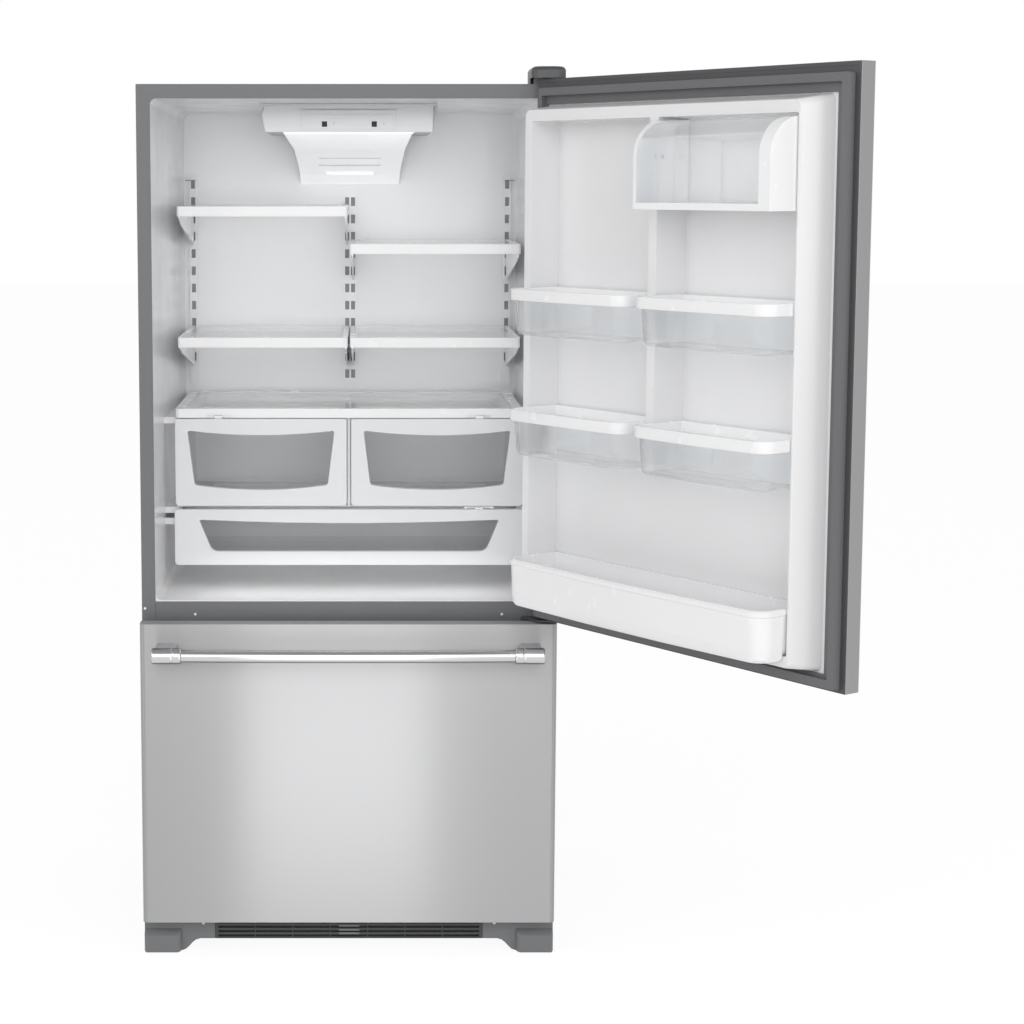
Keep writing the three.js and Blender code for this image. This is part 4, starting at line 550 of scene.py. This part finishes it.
# ---------------------------------------------------------------- settings
class RefrigeratorSettings(bpy.types.PropertyGroup):
    """Sizes that a user would change."""

    edge: bpy.props.FloatProperty(
        name="Edge radius",
        description="Radius of small edges, in millimetres",
        default=0.8,
        min=0.1,
    )
    bin_segments: bpy.props.IntProperty(
        name="Corner segments", description="Segments in a bin's corner", default=8, min=2
    )
    handle_segments: bpy.props.IntProperty(
        name="Handle segments", description="Segments round a handle's bar", default=32, min=12
    )
    camera_pitch: bpy.props.FloatProperty(
        name="Camera pitch",
        description="How far the camera looks down",
        default=math.radians(7),
        subtype="ANGLE",
    )
    light_level: bpy.props.FloatProperty(
        name="Light level", description="Strength of the world's light", default=0.55, min=0.0
    )
    floor_colour: bpy.props.FloatVectorProperty(
        name="Floor colour",
        description="Colour of the floor",
        subtype="COLOR",
        default=(0.86, 0.86, 0.86),
        min=0.0,
        max=1.0,
    )


def settings():
    """This scene's sizes."""
    return bpy.context.scene.refrigerator


# ---------------------------------------------------------------- cabinet
class DressCabinet(bpy.types.Operator):
    """Finish the cabinet shell, the rails, the hinges and the base"""

    bl_idname = "refrigerator.dress_cabinet"
    bl_label = "Cabinet"

    def execute(self, context):
        edge = settings().edge
        for node, material, width in (
            ("cabinet_shell", "enamelled_steel", edge),
            ("back_panel", "enamelled_steel", 0.3),
            ("centre_rail", "enamelled_steel", edge),
            ("top_hinge", "enamelled_steel", 0.5),
            ("hinge_cover", "dark_enamel_and_shade", 2.5),
            ("centre_hinge", "dark_enamel_and_shade", 0.6),
            ("base_frame", "zinc_coat", 0.3),
            ("base_grille", "black_polypropylene", 0.5),
            ("foot_cover_left", "grained_polypropylene", 1.6),
            ("foot_cover_right", "grained_polypropylene", 1.6),
            ("levelling_foot_left", "moulded_rubber", 0.4),
            ("levelling_foot_right", "moulded_rubber", 0.4),
            ("rear_roller_left", "moulded_rubber", 0.6),
            ("rear_roller_right", "moulded_rubber", 0.6),
            ("rear_cover", "black_enamel_and_shade", 0.3),
        ):
            dress(node, material, width)
        return {"FINISHED"}


class MakePlugs(bpy.types.Operator):
    """Model the small white plugs in the rail, the left side and the foot covers"""

    bl_idname = "refrigerator.make_plugs"
    bl_label = "Plugs"

    def execute(self, context):
        dome = [(0.0, -2.2), (1.6, -1.9), (2.7, -1.0), (3.0, 0.3), (0.0, 0.3)]
        bm = bmesh.new()
        steps = 20
        for carrier, x, z in (
            ("centre_rail", -307.6, 692.7),
            ("centre_rail", 307.6, 692.7),
            ("cabinet_shell", -408.1, 704.3),
            ("base_grille", -295.5, 59.0),
            ("base_grille", 295.5, 59.0),
        ):
            revolve(bm, dome, (x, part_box(carrier)[0].y / MM, z), "y", steps)
        keep(bm, "hole_plugs", "cabinet", "moulded_abs", (), None, None)
        return {"FINISHED"}


class MakeGrille(bpy.types.Operator):
    """Model a black sheet of painted shade behind the grille's slots and the three short vanes in
    its middle
    """

    bl_idname = "refrigerator.make_grille"
    bl_label = "Grille"

    def execute(self, context):
        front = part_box("base_grille")[0].y / MM
        # A black sheet just behind the slots paints the shade seen through them.
        bm = bmesh.new()
        behind_slots = (front + 6.4, front + 7.2)
        block(bm, (-270, 270), behind_slots, (29.5, 65.5))
        keep(bm, "grille_shade_sheet", "cabinet", "black_enamel_and_shade")
        bm = bmesh.new()
        across_front = (front - 1.4, front + 1)
        half_height = 2
        for middle in (37.8, 45.2, 53.9):
            block(bm, (-20.1, 21.7), across_front, (middle - half_height, middle + half_height))
        keep(bm, "grille_vanes", "cabinet", "grained_polypropylene", (), None, 0.5)
        return {"FINISHED"}


class DressCooling(bpy.types.Operator):
    """Finish the cooling parts"""

    bl_idname = "refrigerator.dress_cooling"
    bl_label = "Cooling parts"

    def execute(self, context):
        for node, material, width in (
            ("evaporator", "bare_aluminium", 0.0),
            ("evaporator_cover", "vacuum_formed_styrene", 0.4),
            ("evaporator_fan", "fan_nylon", 0.3),
            ("compressor", "black_enamel_and_shade", 1.0),
            ("condenser", "bare_aluminium", 0.0),
            ("condenser_fan", "fan_nylon", 0.3),
        ):
            dress(node, material, width)
        return {"FINISHED"}


class DressLiners(bpy.types.Operator):
    """Finish the food and freezer liners, and paint shade down the slots of the shelf ladders and
    at their tops
    """

    bl_idname = "refrigerator.dress_liners"
    bl_label = "Liners"

    def execute(self, context):
        liner = dress("fridge_liner", "vacuum_formed_styrene", 1.4, 3)
        ladder_face = SHELF_WALL - 5.9 * MM
        wall_face = SHELF_WALL - 0.3 * MM
        slot_height = 21 * MM
        # The slots' faces take the dull grey: the zinc plated ladder behind them, darkened as
        # painted shade.
        repaint(
            liner,
            "painted_shading_grey",
            lambda normal, corners: all(c.y > ladder_face for c in corners)
            and min(c.y for c in corners) < wall_face
            and max(c.z for c in corners) - min(c.z for c in corners) < slot_height
            and normal.y < -0.5,
        )
        dress("freezer_liner", "vacuum_formed_styrene", 1.4, 2)
        dress("drawer_liner", "vacuum_formed_styrene", 2.0, 3)
        # A thin dark strip at the top of each outer ladder paints the shadow line there.
        bm = bmesh.new()
        for side in (-1, 1):
            ladder = sorted((side * 341, side * 363.4))
            block(bm, ladder, (193.6, 195.2), (1556.2, 1558.2))
        keep(bm, "ladder_top_shadows", "cabinet", "painted_shading_grey")
        return {"FINISHED"}


class DressControls(bpy.types.Operator):
    """Finish the control housing and add its displays, keys, painted shadows of its side gaps and
    the cover's ridges
    """

    bl_idname = "refrigerator.dress_controls"
    bl_label = "Controls"

    def execute(self, context):
        dress("control_housing", "textured_abs", 2.0, 3)
        cover = dress("light_cover", "diffusing_acrylic", 2.5, 3)
        # The cover's sides are painted the dull grey: painted shade.
        repaint(cover, "painted_shading_grey", lambda normal, corners: abs(normal.x) > 0.5)
        # The panel's own frame: on the housing's sloping face, facing -Y.
        slope = Matrix.Rotation(math.radians(31.6), 4, "X")
        panel = Matrix.Translation(Vector((1.1, -170.5, 1670.8)) * MM) @ slope
        bm = bmesh.new()
        block(bm, (-92, 90), (-0.6, 0.3), (-13, 22))
        keep(bm, "display_panel", "cabinet", "textured_abs", (), panel, 0.5)
        bm = bmesh.new()
        half_width = 5.3
        for middle in (-50.7, 50.7):
            block(bm, (middle - half_width, middle + half_width), (-1.1, 0.5), (-6.3, 6.3))
        keep(bm, "displays", "cabinet", "black_display", (), panel, 0.3)
        bm = bmesh.new()
        button = [(0, -1.3), (2.6, -1.3), (3.0, 0.2), (0, 0.2)]
        for middle in (-31.5, 70.0):
            revolve(bm, button, (middle, 0, 1), "y", 20)
        keep(bm, "keys", "cabinet", "textured_abs", (), panel, None)
        # Two thin dark strips at the housing's upper corners paint the shadow of the gap against
        # the liner.
        bm = bmesh.new()
        for side in (-1, 1):
            gap_shadow = block(bm, (-0.8, 0.8), (-0.5, 0.5), (-6, 6))
            lean = Matrix.Rotation(math.radians(-14 * side), 4, "Y")
            place = Matrix.Translation(Vector((side * 174.5, -184.8, 1698.5)) * MM)
            bmesh.ops.transform(bm, matrix=place @ slope @ lean, verts=gap_shadow)
        keep(bm, "housing_gap_shadows", "cabinet", "painted_shading_grey", (), None, 0.3)
        # The ridges take the unglowing, greyer satin white so that they show as grey lines:
        # painted shade on real ridges.
        bm = bmesh.new()
        for y, z, tilt in ((94, 1604.9, 18), (138, 1590.3, 22)):
            ridge = block(bm, (-68, 68), (-2.6, 2.6), (-1.3, 1.3))
            place = Matrix.Translation(Vector((0, y, z)) * MM)
            turn = Matrix.Rotation(math.radians(-tilt), 4, "X")
            bmesh.ops.transform(bm, matrix=place @ turn, verts=ridge)
        keep(bm, "light_ridges", "cabinet", "satin_abs", (), None, 1.1, 3)
        return {"FINISHED"}


# ---------------------------------------------------------------- shelves
class DressShelves(bpy.types.Operator):
    """Finish the shelves, the crisper cover, the baskets and the drawer's frame"""

    bl_idname = "refrigerator.dress_shelves"
    bl_label = "Shelves"

    def execute(self, context):
        for place in ("upper_left", "upper_right", "lower_left", "lower_right"):
            dress(f"shelf_frame_{place}", "moulded_abs", 1.8, 3)
            dress(f"shelf_glass_{place}", "tempered_glass", 0.6)
        dress("crisper_cover", "moulded_abs", 1.8, 3)
        dress("crisper_glass", "tempered_glass", 0.6)
        dress("pan_frame", "moulded_abs", 0.6)
        for node in ("slider_tab_left", "slider_tab_right", "slider_tab_deli"):
            dress(node, "moulded_abs", 0.5)
        for node in ("freezer_basket", "upper_tray"):
            dress(node, "white_polyethylene", 0.6)
        dress("drawer_frame", "zinc_coat", 0.5)
        return {"FINISHED"}


def windowed_front(pan, x, z, window, lean, sag, bulge, radius):
    """A pan's white front, with a window that sags at the top and leans in at the sides.

    The measures are in millimetres: lean is how far each side leans in, sag and bulge are how
    far the top and the bottom curve down, and radius rounds the lower corners.
    """
    (left, right), (low, high) = window
    lower_corner, upper_corner = 8, 5
    bm = bmesh.new()
    corners = [(left + lean, low), (right - lean, low), (right, high), (left, high)]
    radii = (radius, radius, upper_corner, upper_corner)
    hole = plate(bm, [(u, PANS_FRONT, v) for u, v in corners], radii)
    curve_edge(bm, hole, high, -sag)
    if bulge:
        curve_edge(bm, hole, low, -bulge)
    corners = [(x[0], z[0]), (x[1], z[0]), (x[1], z[1]), (x[0], z[1])]
    radii = (lower_corner, lower_corner, upper_corner, upper_corner)
    face = plate(bm, [(u, PANS_FRONT, v) for u, v in corners], radii)
    rings = [*hole.edges, *face.edges]
    bmesh.ops.delete(bm, geom=[hole, face], context="FACES_ONLY")
    bmesh.ops.bridge_loops(bm, edges=rings)
    push(bm, list(bm.faces), (0, PAN_FRONT_THICKNESS, 0))
    bmesh.ops.dissolve_limit(
        bm, angle_limit=math.radians(0.5), verts=bm.verts, edges=bm.edges, delimit=set()
    )
    keep(bm, f"{pan}_front", pan, "satin_abs", [pan], None, 1.4, 3)


def pan_tub(pan, x, z, lips):
    """A pan's clear tapering tub behind its front, with lips along its sides to slide on."""
    front, back = PANS_FRONT + PAN_FRONT_THICKNESS + 0.3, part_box(pan)[1].y / MM
    margin, taper, wall, foot_radius = 8.5, 6, 2.5, 7
    left, right = x[0] + margin, x[1] - margin
    low, high = z[0] + 0.4, z[1] - 16
    corners = [(left, front), (right, front), (right, back), (left, back)]
    bm = bmesh.new()
    foot = plate(bm, [(u, v, low) for u, v in corners], (9, 9, 14, 14))
    spread(foot.verts, -taper)
    hollow(bm, foot, high - low, wall, taper, foot_radius)
    for side in (-1, 1) if lips else ():
        lip = sorted((side * (x[1] - 10.8), side * (x[1] + 2.5)))
        block(bm, lip, (front + 3, back - 14), (high - 4, high - 0.1))
    keep(bm, f"{pan}_tub", pan, "clear_pan_styrene", (), None, 0.5)


class MakePans(bpy.types.Operator):
    """Model the crispers and the deli pan: white fronts with windows, and clear tubs"""

    bl_idname = "refrigerator.make_pans"
    bl_label = "Pans"

    def execute(self, context):
        # The window's margins at the sides, below and above, and then its form.
        for pan, side, below, above, lean, sag, bulge, radius in (
            ("crisper_left", 25.5, 43, 25, 14, 9, 9, 7),
            ("crisper_right", 25.5, 43, 25, 14, 9, 9, 7),
            ("deli_pan", 50.5, 29, 22, 27, 7, 0, 12),
        ):
            low, high = [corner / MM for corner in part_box(pan)]
            x, z = (low.x, high.x), (low.z, high.z)
            window = ((x[0] + side, x[1] - side), (z[0] + below, z[1] - above))
            windowed_front(pan, x, z, window, lean, sag, bulge, radius)
            pan_tub(pan, x, z, pan == "deli_pan")
        return {"FINISHED"}


# ---------------------------------------------------------------- door
class DressDoor(bpy.types.Operator):
    """Finish the door's and the drawer's steel, the inner panel and the gaskets"""

    bl_idname = "refrigerator.dress_door"
    bl_label = "Door"

    def execute(self, context):
        for node, food_side in (
            ("door_skin", DOOR.to_3x3() @ Vector((0, 1, 0))),
            ("drawer_skin", Vector((0, 1, 0))),
        ):
            skin = dress(node, "brushed_stainless", 0.8, 3)
            repaint(
                skin, "dark_enamel_and_shade", lambda normal, corners, way=food_side: normal.dot(way) > 0.5
            )
            # Their top and bottom faces take the dull grey instead of steel for how light falls
            # there: painted shading.
            repaint(skin, "painted_shading_grey", lambda normal, corners: abs(normal.z) > 0.8)
        shut = DOOR.inverted()
        bm = merged_copy("door_liner")
        bmesh.ops.transform(bm, matrix=shut, verts=bm.verts)
        crest = (DOOR_INNER + 40) * MM  # only the dykes stand higher
        sharp_angle = math.radians(25)
        sharp = [
            e
            for e in bm.edges
            if len(e.link_faces) == 2
            and e.calc_face_angle(0.0) > sharp_angle
            and all(v.co.y > crest for v in e.verts)
        ]
        bevel_edges(bm, sharp, 5, 4)
        # Beyond these levels the panel's flange is painted dark: painted shade in the gap beside
        # the gasket.
        gap = {"x": -790, "z": 1728}
        for axis, level in gap.items():
            along = Vector([float(axis == letter) for letter in "xyz"])
            bmesh.ops.bisect_plane(
                bm,
                geom=[*bm.verts, *bm.edges, *bm.faces],
                dist=0.001 * MM,
                plane_co=along * level * MM,
                plane_no=along,
            )
        panel = keep(
            bm,
            "door_inner_panel",
            "door",
            "vacuum_formed_styrene",
            ["door_liner"],
            DOOR,
            0.6,
        )
        # The flange beyond the cuts takes the dark grey as painted shade.
        free_side, top_side = (gap["x"] + 0.1) * MM, (gap["z"] - 0.1) * MM
        repaint(
            panel,
            "dark_enamel_and_shade",
            lambda normal, corners: all((shut @ c).x < free_side for c in corners)
            or all((shut @ c).z > top_side for c in corners),
        )
        dress("door_gasket", "extruded_vinyl", 1.2, 3)
        dress("drawer_gasket", "extruded_vinyl", 1.2, 3)
        return {"FINISHED"}


def bowed_outline(bm, x, y, radius, bow, z):
    """A level face with two rounded front corners and a front edge that bows outwards."""
    corners = [(x[0], y[0], z), (x[1], y[0], z), (x[1], y[1], z), (x[0], y[1], z)]
    face = plate(bm, corners, (0, 0, radius, radius), settings().bin_segments)
    front = max(face.edges, key=lambda e: min(v.co.y for v in e.verts) + e.calc_length())
    bmesh.ops.subdivide_edges(bm, edges=[front], cuts=11)
    middle, half = (x[0] + x[1]) / 2 * MM, (x[1] - x[0]) / 2 * MM
    for vert in face.verts:
        depth = max(0.0, (vert.co.y - y[0] * MM) / ((y[1] - y[0]) * MM))
        vert.co.y += bow * MM * depth * (1 - ((vert.co.x - middle) / half) ** 2)
    return face


def door_bin(name, node, x, z):
    """A bin in two mouldings: a white rim that frames it, and a clear tub with a rounded foot."""
    rim, reach, radius, bow = 22, 125, 28, 6
    rim_width, shrink, wall, taper, foot_radius, overlap = 6.5, 11, 2.6, 4, 9, 3
    y = (DOOR_INNER - 5.7, DOOR_INNER + reach)
    bm = bmesh.new()
    face = bowed_outline(bm, x, y, radius, bow, z[1] - rim)
    inset(bm, face, rim_width)
    bmesh.ops.delete(bm, geom=[face], context="FACES_ONLY")
    push(bm, list(bm.faces), (0, 0, rim))
    keep(bm, f"{name}_rim", "door", "moulded_abs", [node], DOOR, 2.4, 3)
    bm = bmesh.new()
    foot = bowed_outline(bm, x, y, radius, bow, z[0])
    spread(foot.verts, -shrink)
    hollow(bm, foot, z[1] - rim - z[0] + overlap, wall, taper, foot_radius)
    keep(bm, f"{name}_tub", "door", "clear_styrene", (), DOOR, 0.5)


class MakeBins(bpy.types.Operator):
    """Model the door's bins: white rims and clear tubs, and finish the bottom bin and dairy box"""

    bl_idname = "refrigerator.make_bins"
    bl_label = "Door bins"

    def execute(self, context):
        for row in ("upper", "lower"):
            for side, (near, far) in POCKETS.items():
                node = f"door_bin_{row}_{side}"
                low, high = [corner.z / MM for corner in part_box(node)]
                door_bin(f"bin_{row}_{side}", node, (-far, -near), (low, high))
        dress("door_bin_bottom", "moulded_abs", 3.0, 4)
        dress("dairy_box", "moulded_abs", 2.4, 3)
        dress("dairy_lid", "clear_styrene", 0.6)
        return {"FINISHED"}


# ---------------------------------------------------------------- handles
def bar_handle(name, body, node, matrix):
    """A bowed bar between turned sleeves on two posts, along X and standing off towards -Y."""
    half, stand = 385, 60  # half its length, and how far its axis stands off the face
    sleeve, radius = 59, 15.7
    bar, bow, cuts = 12, 6.2, 24  # the bar's radius, its bow and its divisions along
    close = 0.004  # a ring this share of the length from each end keeps the shading level
    steps = settings().handle_segments
    length = 2 * (half - sleeve + 4)
    bm = bmesh.new()
    made = bmesh.ops.create_circle(bm, radius=bar * MM, segments=steps)["verts"]
    bmesh.ops.rotate(bm, verts=made, cent=(0, 0, 0), matrix=Matrix.Rotation(math.pi / 2, 3, "Y"))
    bmesh.ops.translate(bm, vec=Vector((-length / 2, -stand, 0)) * MM, verts=made)
    ring = list(bm.edges)
    stops = [0.0, close, *(i / cuts for i in range(1, cuts)), 1.0 - close, 1.0]
    for before, t in zip(stops, stops[1:]):
        made = bmesh.ops.extrude_edge_only(bm, edges=ring)["geom"]
        ring = [item for item in made if isinstance(item, bmesh.types.BMEdge)]
        verts = [item for item in made if isinstance(item, bmesh.types.BMVert)]
        rise = -4 * bow * (t * (1 - t) - before * (1 - before))
        bmesh.ops.translate(bm, vec=Vector((length * (t - before), rise, 0)) * MM, verts=verts)
    bmesh.ops.holes_fill(bm, edges=bm.edges, sides=0)
    # Radius and distance from the end; the close pairs keep the shading of the flats level.
    profile = [
        (0.0, 0.0),
        (radius - 2.5, 0.0),
        (radius - 0.8, 0.8),
        (radius, 2.6),
        (radius, 3.2),
        (radius, 37.4),
        (radius, 38),
        (radius - 1.3, 39.2),
        (radius - 1.3, 41.8),
        (radius, 43),
        (radius, 43.6),
        (radius, 54.4),
        (radius, 55),
        (radius - 1.2, 57.6),
        (bar - 1, sleeve),
        (0.0, sleeve),
    ]
    for side in (-1, 1):
        turned = [(r, -side * h) for r, h in profile]
        revolve(bm, turned, (side * half, -stand, 0), "x", steps)
    keep(bm, f"{name}_bar", body, "polished_stainless", [node], matrix, None)
    bm = bmesh.new()
    for side in (-1, 1):
        across = sorted((side * (half - 4), side * (half - 46)))
        post = block(bm, across, (8 - stand, -0.3), (-13, 13))
        edges = dict.fromkeys(e for v in post for e in v.link_edges)
        bevel_edges(bm, [e for e in edges if abs(e.verts[0].co.y - e.verts[1].co.y) > MM], 4, 4)
    keep(bm, f"{name}_posts", body, "satin_zinc_casting", (), matrix, 0.8)


class MakeHandles(bpy.types.Operator):
    """Model the bar handles of the door and the drawer"""

    bl_idname = "refrigerator.make_handles"
    bl_label = "Handles"

    def execute(self, context):
        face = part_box("drawer_skin")[0].y
        low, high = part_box("drawer_handle")
        place = Matrix.Translation((0, face, (low.z + high.z) / 2))
        bar_handle("drawer_grip", "drawer", "drawer_handle", place)
        low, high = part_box("door_handle")
        local = Vector((DOOR_FREE + 82, DOOR_INNER - 39, 0)) * MM
        local.z = (low.z + high.z) / 2
        upright = Matrix.Rotation(-math.pi / 2, 4, "Y")
        bar_handle("door_grip", "door", "door_handle", DOOR @ Matrix.Translation(local) @ upright)
        return {"FINISHED"}


# ---------------------------------------------------------------- stage
WHITE = (1.0, 1.0, 1.0, 1.0)
FLOOR_GLOW = 1.08  # how brightly the floor shows itself as white
FLOOR_SEEN = 0.84  # the share of that in what is seen; the rest keeps the shadow
SIDE_FLAGS, TOP_FLAG = 0.92, 0.4  # how bright gloss sees the sides and the top of the studio

# The camera, fitted to the photograph: pixels on a frame as wide as it, and metres.
FRAME_WIDTH = 1024
FOCAL_LENGTH = 2215
CAMERA_PLACE = (0.032, -4.731, 1.552)
CAMERA_SHIFT = (0.144, -0.056)

# Each lamp's name, place, the point that it faces, its size, watts, spread and light bounces.
# The last two stand close to the drawer's steel, where more bounces would only speckle.
BEHIND_FRONTS = (PANS_FRONT + 2 * PAN_FRONT_THICKNESS) * MM
FULL_SPREAD, NARROW_SPREAD = math.radians(180), math.radians(140)
LAMPS = (
    ("front_softbox", (0.3, -4.6, 2.4), (0, 0, 1), (3, 3), 60, FULL_SPREAD, 1024),
    ("left_softbox", (-3.4, -2.6, 2.6), (0, -0.2, 0.9), (2.4, 2.4), 30, FULL_SPREAD, 1024),
    ("right_softbox", (3.6, -3, 2.2), (0.3, -0.4, 0.9), (2.4, 2.4), 26, FULL_SPREAD, 1024),
    ("compartment_fill", (0, -0.2, 1.39), (0, 0, 1.39), (0.66, 0.56), 0.68, FULL_SPREAD, 1024),
    ("floor_fill", (0, -0.3, 0.795), (0, -0.301, 0.7), (0.64, 0.1), 0.22, FULL_SPREAD, 1024),
    ("pan_fill", (0, BEHIND_FRONTS, 0.93), (0, 0, 0.93), (0.66, 0.26), 0.3, FULL_SPREAD, 1024),
    ("steel_strip", (-0.03, -0.95, 0.33), (-0.03, 0, 0.33), (0.42, 0.64), 0.54, NARROW_SPREAD, 1),
    ("steel_wash", (0.02, -0.98, 0.33), (0.02, 0, 0.33), (0.54, 0.64), 0.13, NARROW_SPREAD, 1),
)


def pale_floor():
    """The floor: matt for the lamps, white for the camera and for gloss, and shadowed a little."""
    material = bpy.data.materials.new("pale_floor")
    material.use_nodes = True
    tree = material.node_tree
    tree.nodes.clear()
    path = add_node(tree, "ShaderNodeLightPath")
    colour = list(settings().floor_colour) + [1.0]
    matt = add_node(tree, "ShaderNodeBsdfDiffuse", {"Color": colour})
    glow = add_node(tree, "ShaderNodeEmission", {"Color": WHITE, "Strength": FLOOR_GLOW})
    seen = add_node(
        tree,
        "ShaderNodeMath",
        links={0: path.outputs["Is Camera Ray"], 1: path.outputs["Is Glossy Ray"]},
        operation="MAXIMUM",
    )
    through = add_node(
        tree,
        "ShaderNodeMath",
        links={0: seen.outputs[0], 1: path.outputs["Is Transmission Ray"]},
        operation="MAXIMUM",
    )
    share = add_node(
        tree, "ShaderNodeMath", {1: FLOOR_SEEN}, {0: through.outputs[0]}, operation="MULTIPLY"
    )
    mixed = add_node(
        tree,
        "ShaderNodeMixShader",
        links={0: share.outputs[0], 1: matt.outputs[0], 2: glow.outputs[0]},
    )
    add_node(tree, "ShaderNodeOutputMaterial", links={"Surface": mixed.outputs[0]})
    return material


def studio_world():
    """White where the camera, glass or gloss looks, with dark flags at both sides and overhead."""
    world = bpy.data.worlds.new("studio")
    world.use_nodes = True
    tree = world.node_tree
    tree.nodes.clear()
    path = add_node(tree, "ShaderNodeLightPath")
    way = add_node(tree, "ShaderNodeTexCoord").outputs["Generated"]
    split = add_node(tree, "ShaderNodeSeparateXYZ", links={0: way})
    aside = add_node(tree, "ShaderNodeMath", links={0: split.outputs["X"]}, operation="ABSOLUTE")
    sides = add_node(
        tree,
        "ShaderNodeMapRange",
        {"From Min": 0.5, "From Max": 0.9, "To Min": 1.0, "To Max": SIDE_FLAGS},
        {"Value": aside.outputs[0]},
        interpolation_type="SMOOTHSTEP",
    )
    above = add_node(
        tree,
        "ShaderNodeMapRange",
        {"From Min": 0.3, "From Max": 0.8, "To Min": 1.0, "To Max": TOP_FLAG},
        {"Value": split.outputs["Z"]},
        interpolation_type="SMOOTHSTEP",
    )
    flagged = add_node(
        tree,
        "ShaderNodeMath",
        links={0: sides.outputs[0], 1: above.outputs[0]},
        operation="MULTIPLY",
    )
    soft = add_node(
        tree, "ShaderNodeBackground", {"Color": WHITE, "Strength": settings().light_level}
    )
    gloss = add_node(
        tree, "ShaderNodeBackground", {"Color": WHITE}, {"Strength": flagged.outputs[0]}
    )
    white = add_node(tree, "ShaderNodeBackground", {"Color": WHITE, "Strength": 1.0})
    lit = add_node(
        tree,
        "ShaderNodeMixShader",
        links={0: path.outputs["Is Glossy Ray"], 1: soft.outputs[0], 2: gloss.outputs[0]},
    )
    seen = add_node(
        tree,
        "ShaderNodeMath",
        links={0: path.outputs["Is Camera Ray"], 1: path.outputs["Is Transmission Ray"]},
        operation="MAXIMUM",
    )
    mixed = add_node(
        tree,
        "ShaderNodeMixShader",
        links={0: seen.outputs[0], 1: lit.outputs[0], 2: white.outputs[0]},
    )
    add_node(tree, "ShaderNodeOutputWorld", links={"Surface": mixed.outputs[0]})
    return world


def add_lamp(name, place, aim, size, power, spread_angle, bounces):
    """A soft rectangular lamp that the camera doesn't see."""
    lamp = bpy.data.lights.new(name, "AREA")
    lamp.shape = "RECTANGLE"
    lamp.spread = spread_angle
    lamp.cycles.max_bounces = bounces
    lamp.size, lamp.size_y = size
    lamp.energy = power
    holder = bpy.data.objects.new(name, lamp)
    holder.location = place
    direction = Vector(aim) - Vector(place)
    holder.rotation_euler = direction.to_track_quat("-Z", "Y").to_euler()
    holder.visible_camera = False
    bpy.context.scene.collection.objects.link(holder)


class MakeStage(bpy.types.Operator):
    """Lay the floor, set the lights and place the camera at the photograph's view"""

    bl_idname = "refrigerator.make_stage"
    bl_label = "Stage"

    def execute(self, context):
        scene = context.scene
        bm = bmesh.new()
        bmesh.ops.create_grid(bm, x_segments=1, y_segments=1, size=30)
        mesh = bpy.data.meshes.new("floor")
        bm.to_mesh(mesh)
        bm.free()
        floor = bpy.data.objects.new("floor", mesh)
        scene.collection.objects.link(floor)
        mesh.materials.append(pale_floor())
        scene.world = studio_world()
        for lamp in LAMPS:
            add_lamp(*lamp)

        camera = bpy.data.cameras.new("photo_view")
        camera.sensor_width = 36
        camera.lens = FOCAL_LENGTH / FRAME_WIDTH * camera.sensor_width
        camera.shift_x, camera.shift_y = CAMERA_SHIFT
        camera.clip_start, camera.clip_end = 0.1, 100
        holder = bpy.data.objects.new("photo_view", camera)
        holder.location = CAMERA_PLACE
        holder.rotation_euler = (math.pi / 2 - settings().camera_pitch, 0, 0)
        scene.collection.objects.link(holder)
        scene.camera = holder
        scene.view_settings.view_transform = "Standard"
        return {"FINISHED"}


# ---------------------------------------------------------------- panel and registration
STEPS = (
    DressCabinet,
    MakePlugs,
    MakeGrille,
    DressCooling,
    DressLiners,
    DressControls,
    DressShelves,
    MakePans,
    DressDoor,
    MakeBins,
    MakeHandles,
    MakeStage,
)


class RefrigeratorPanel(bpy.types.Panel):
    """Lists the steps that dress the refrigerator"""

    bl_idname = "VIEW3D_PT_refrigerator"
    bl_label = "Refrigerator"
    bl_space_type = "VIEW_3D"
    bl_region_type = "UI"
    bl_category = "Refrigerator"

    def draw(self, context):
        for name in RefrigeratorSettings.__annotations__:
            self.layout.prop(context.scene.refrigerator, name)
        for step in STEPS:
            self.layout.operator(step.bl_idname)


CLASSES = (RefrigeratorSettings, *STEPS, RefrigeratorPanel)


def register():
    """Adds the settings, the operators and the panel."""
    for cls in CLASSES:
        bpy.utils.register_class(cls)
    bpy.types.Scene.refrigerator = bpy.props.PointerProperty(type=RefrigeratorSettings)


def unregister():
    """Removes them again."""
    del bpy.types.Scene.refrigerator
    for cls in reversed(CLASSES):
        bpy.utils.unregister_class(cls)


def main():
    register()
    for step in STEPS:
        group, name = step.bl_idname.split(".")
        getattr(getattr(bpy.ops, group), name)()


if __name__ == "__main__":
    main()
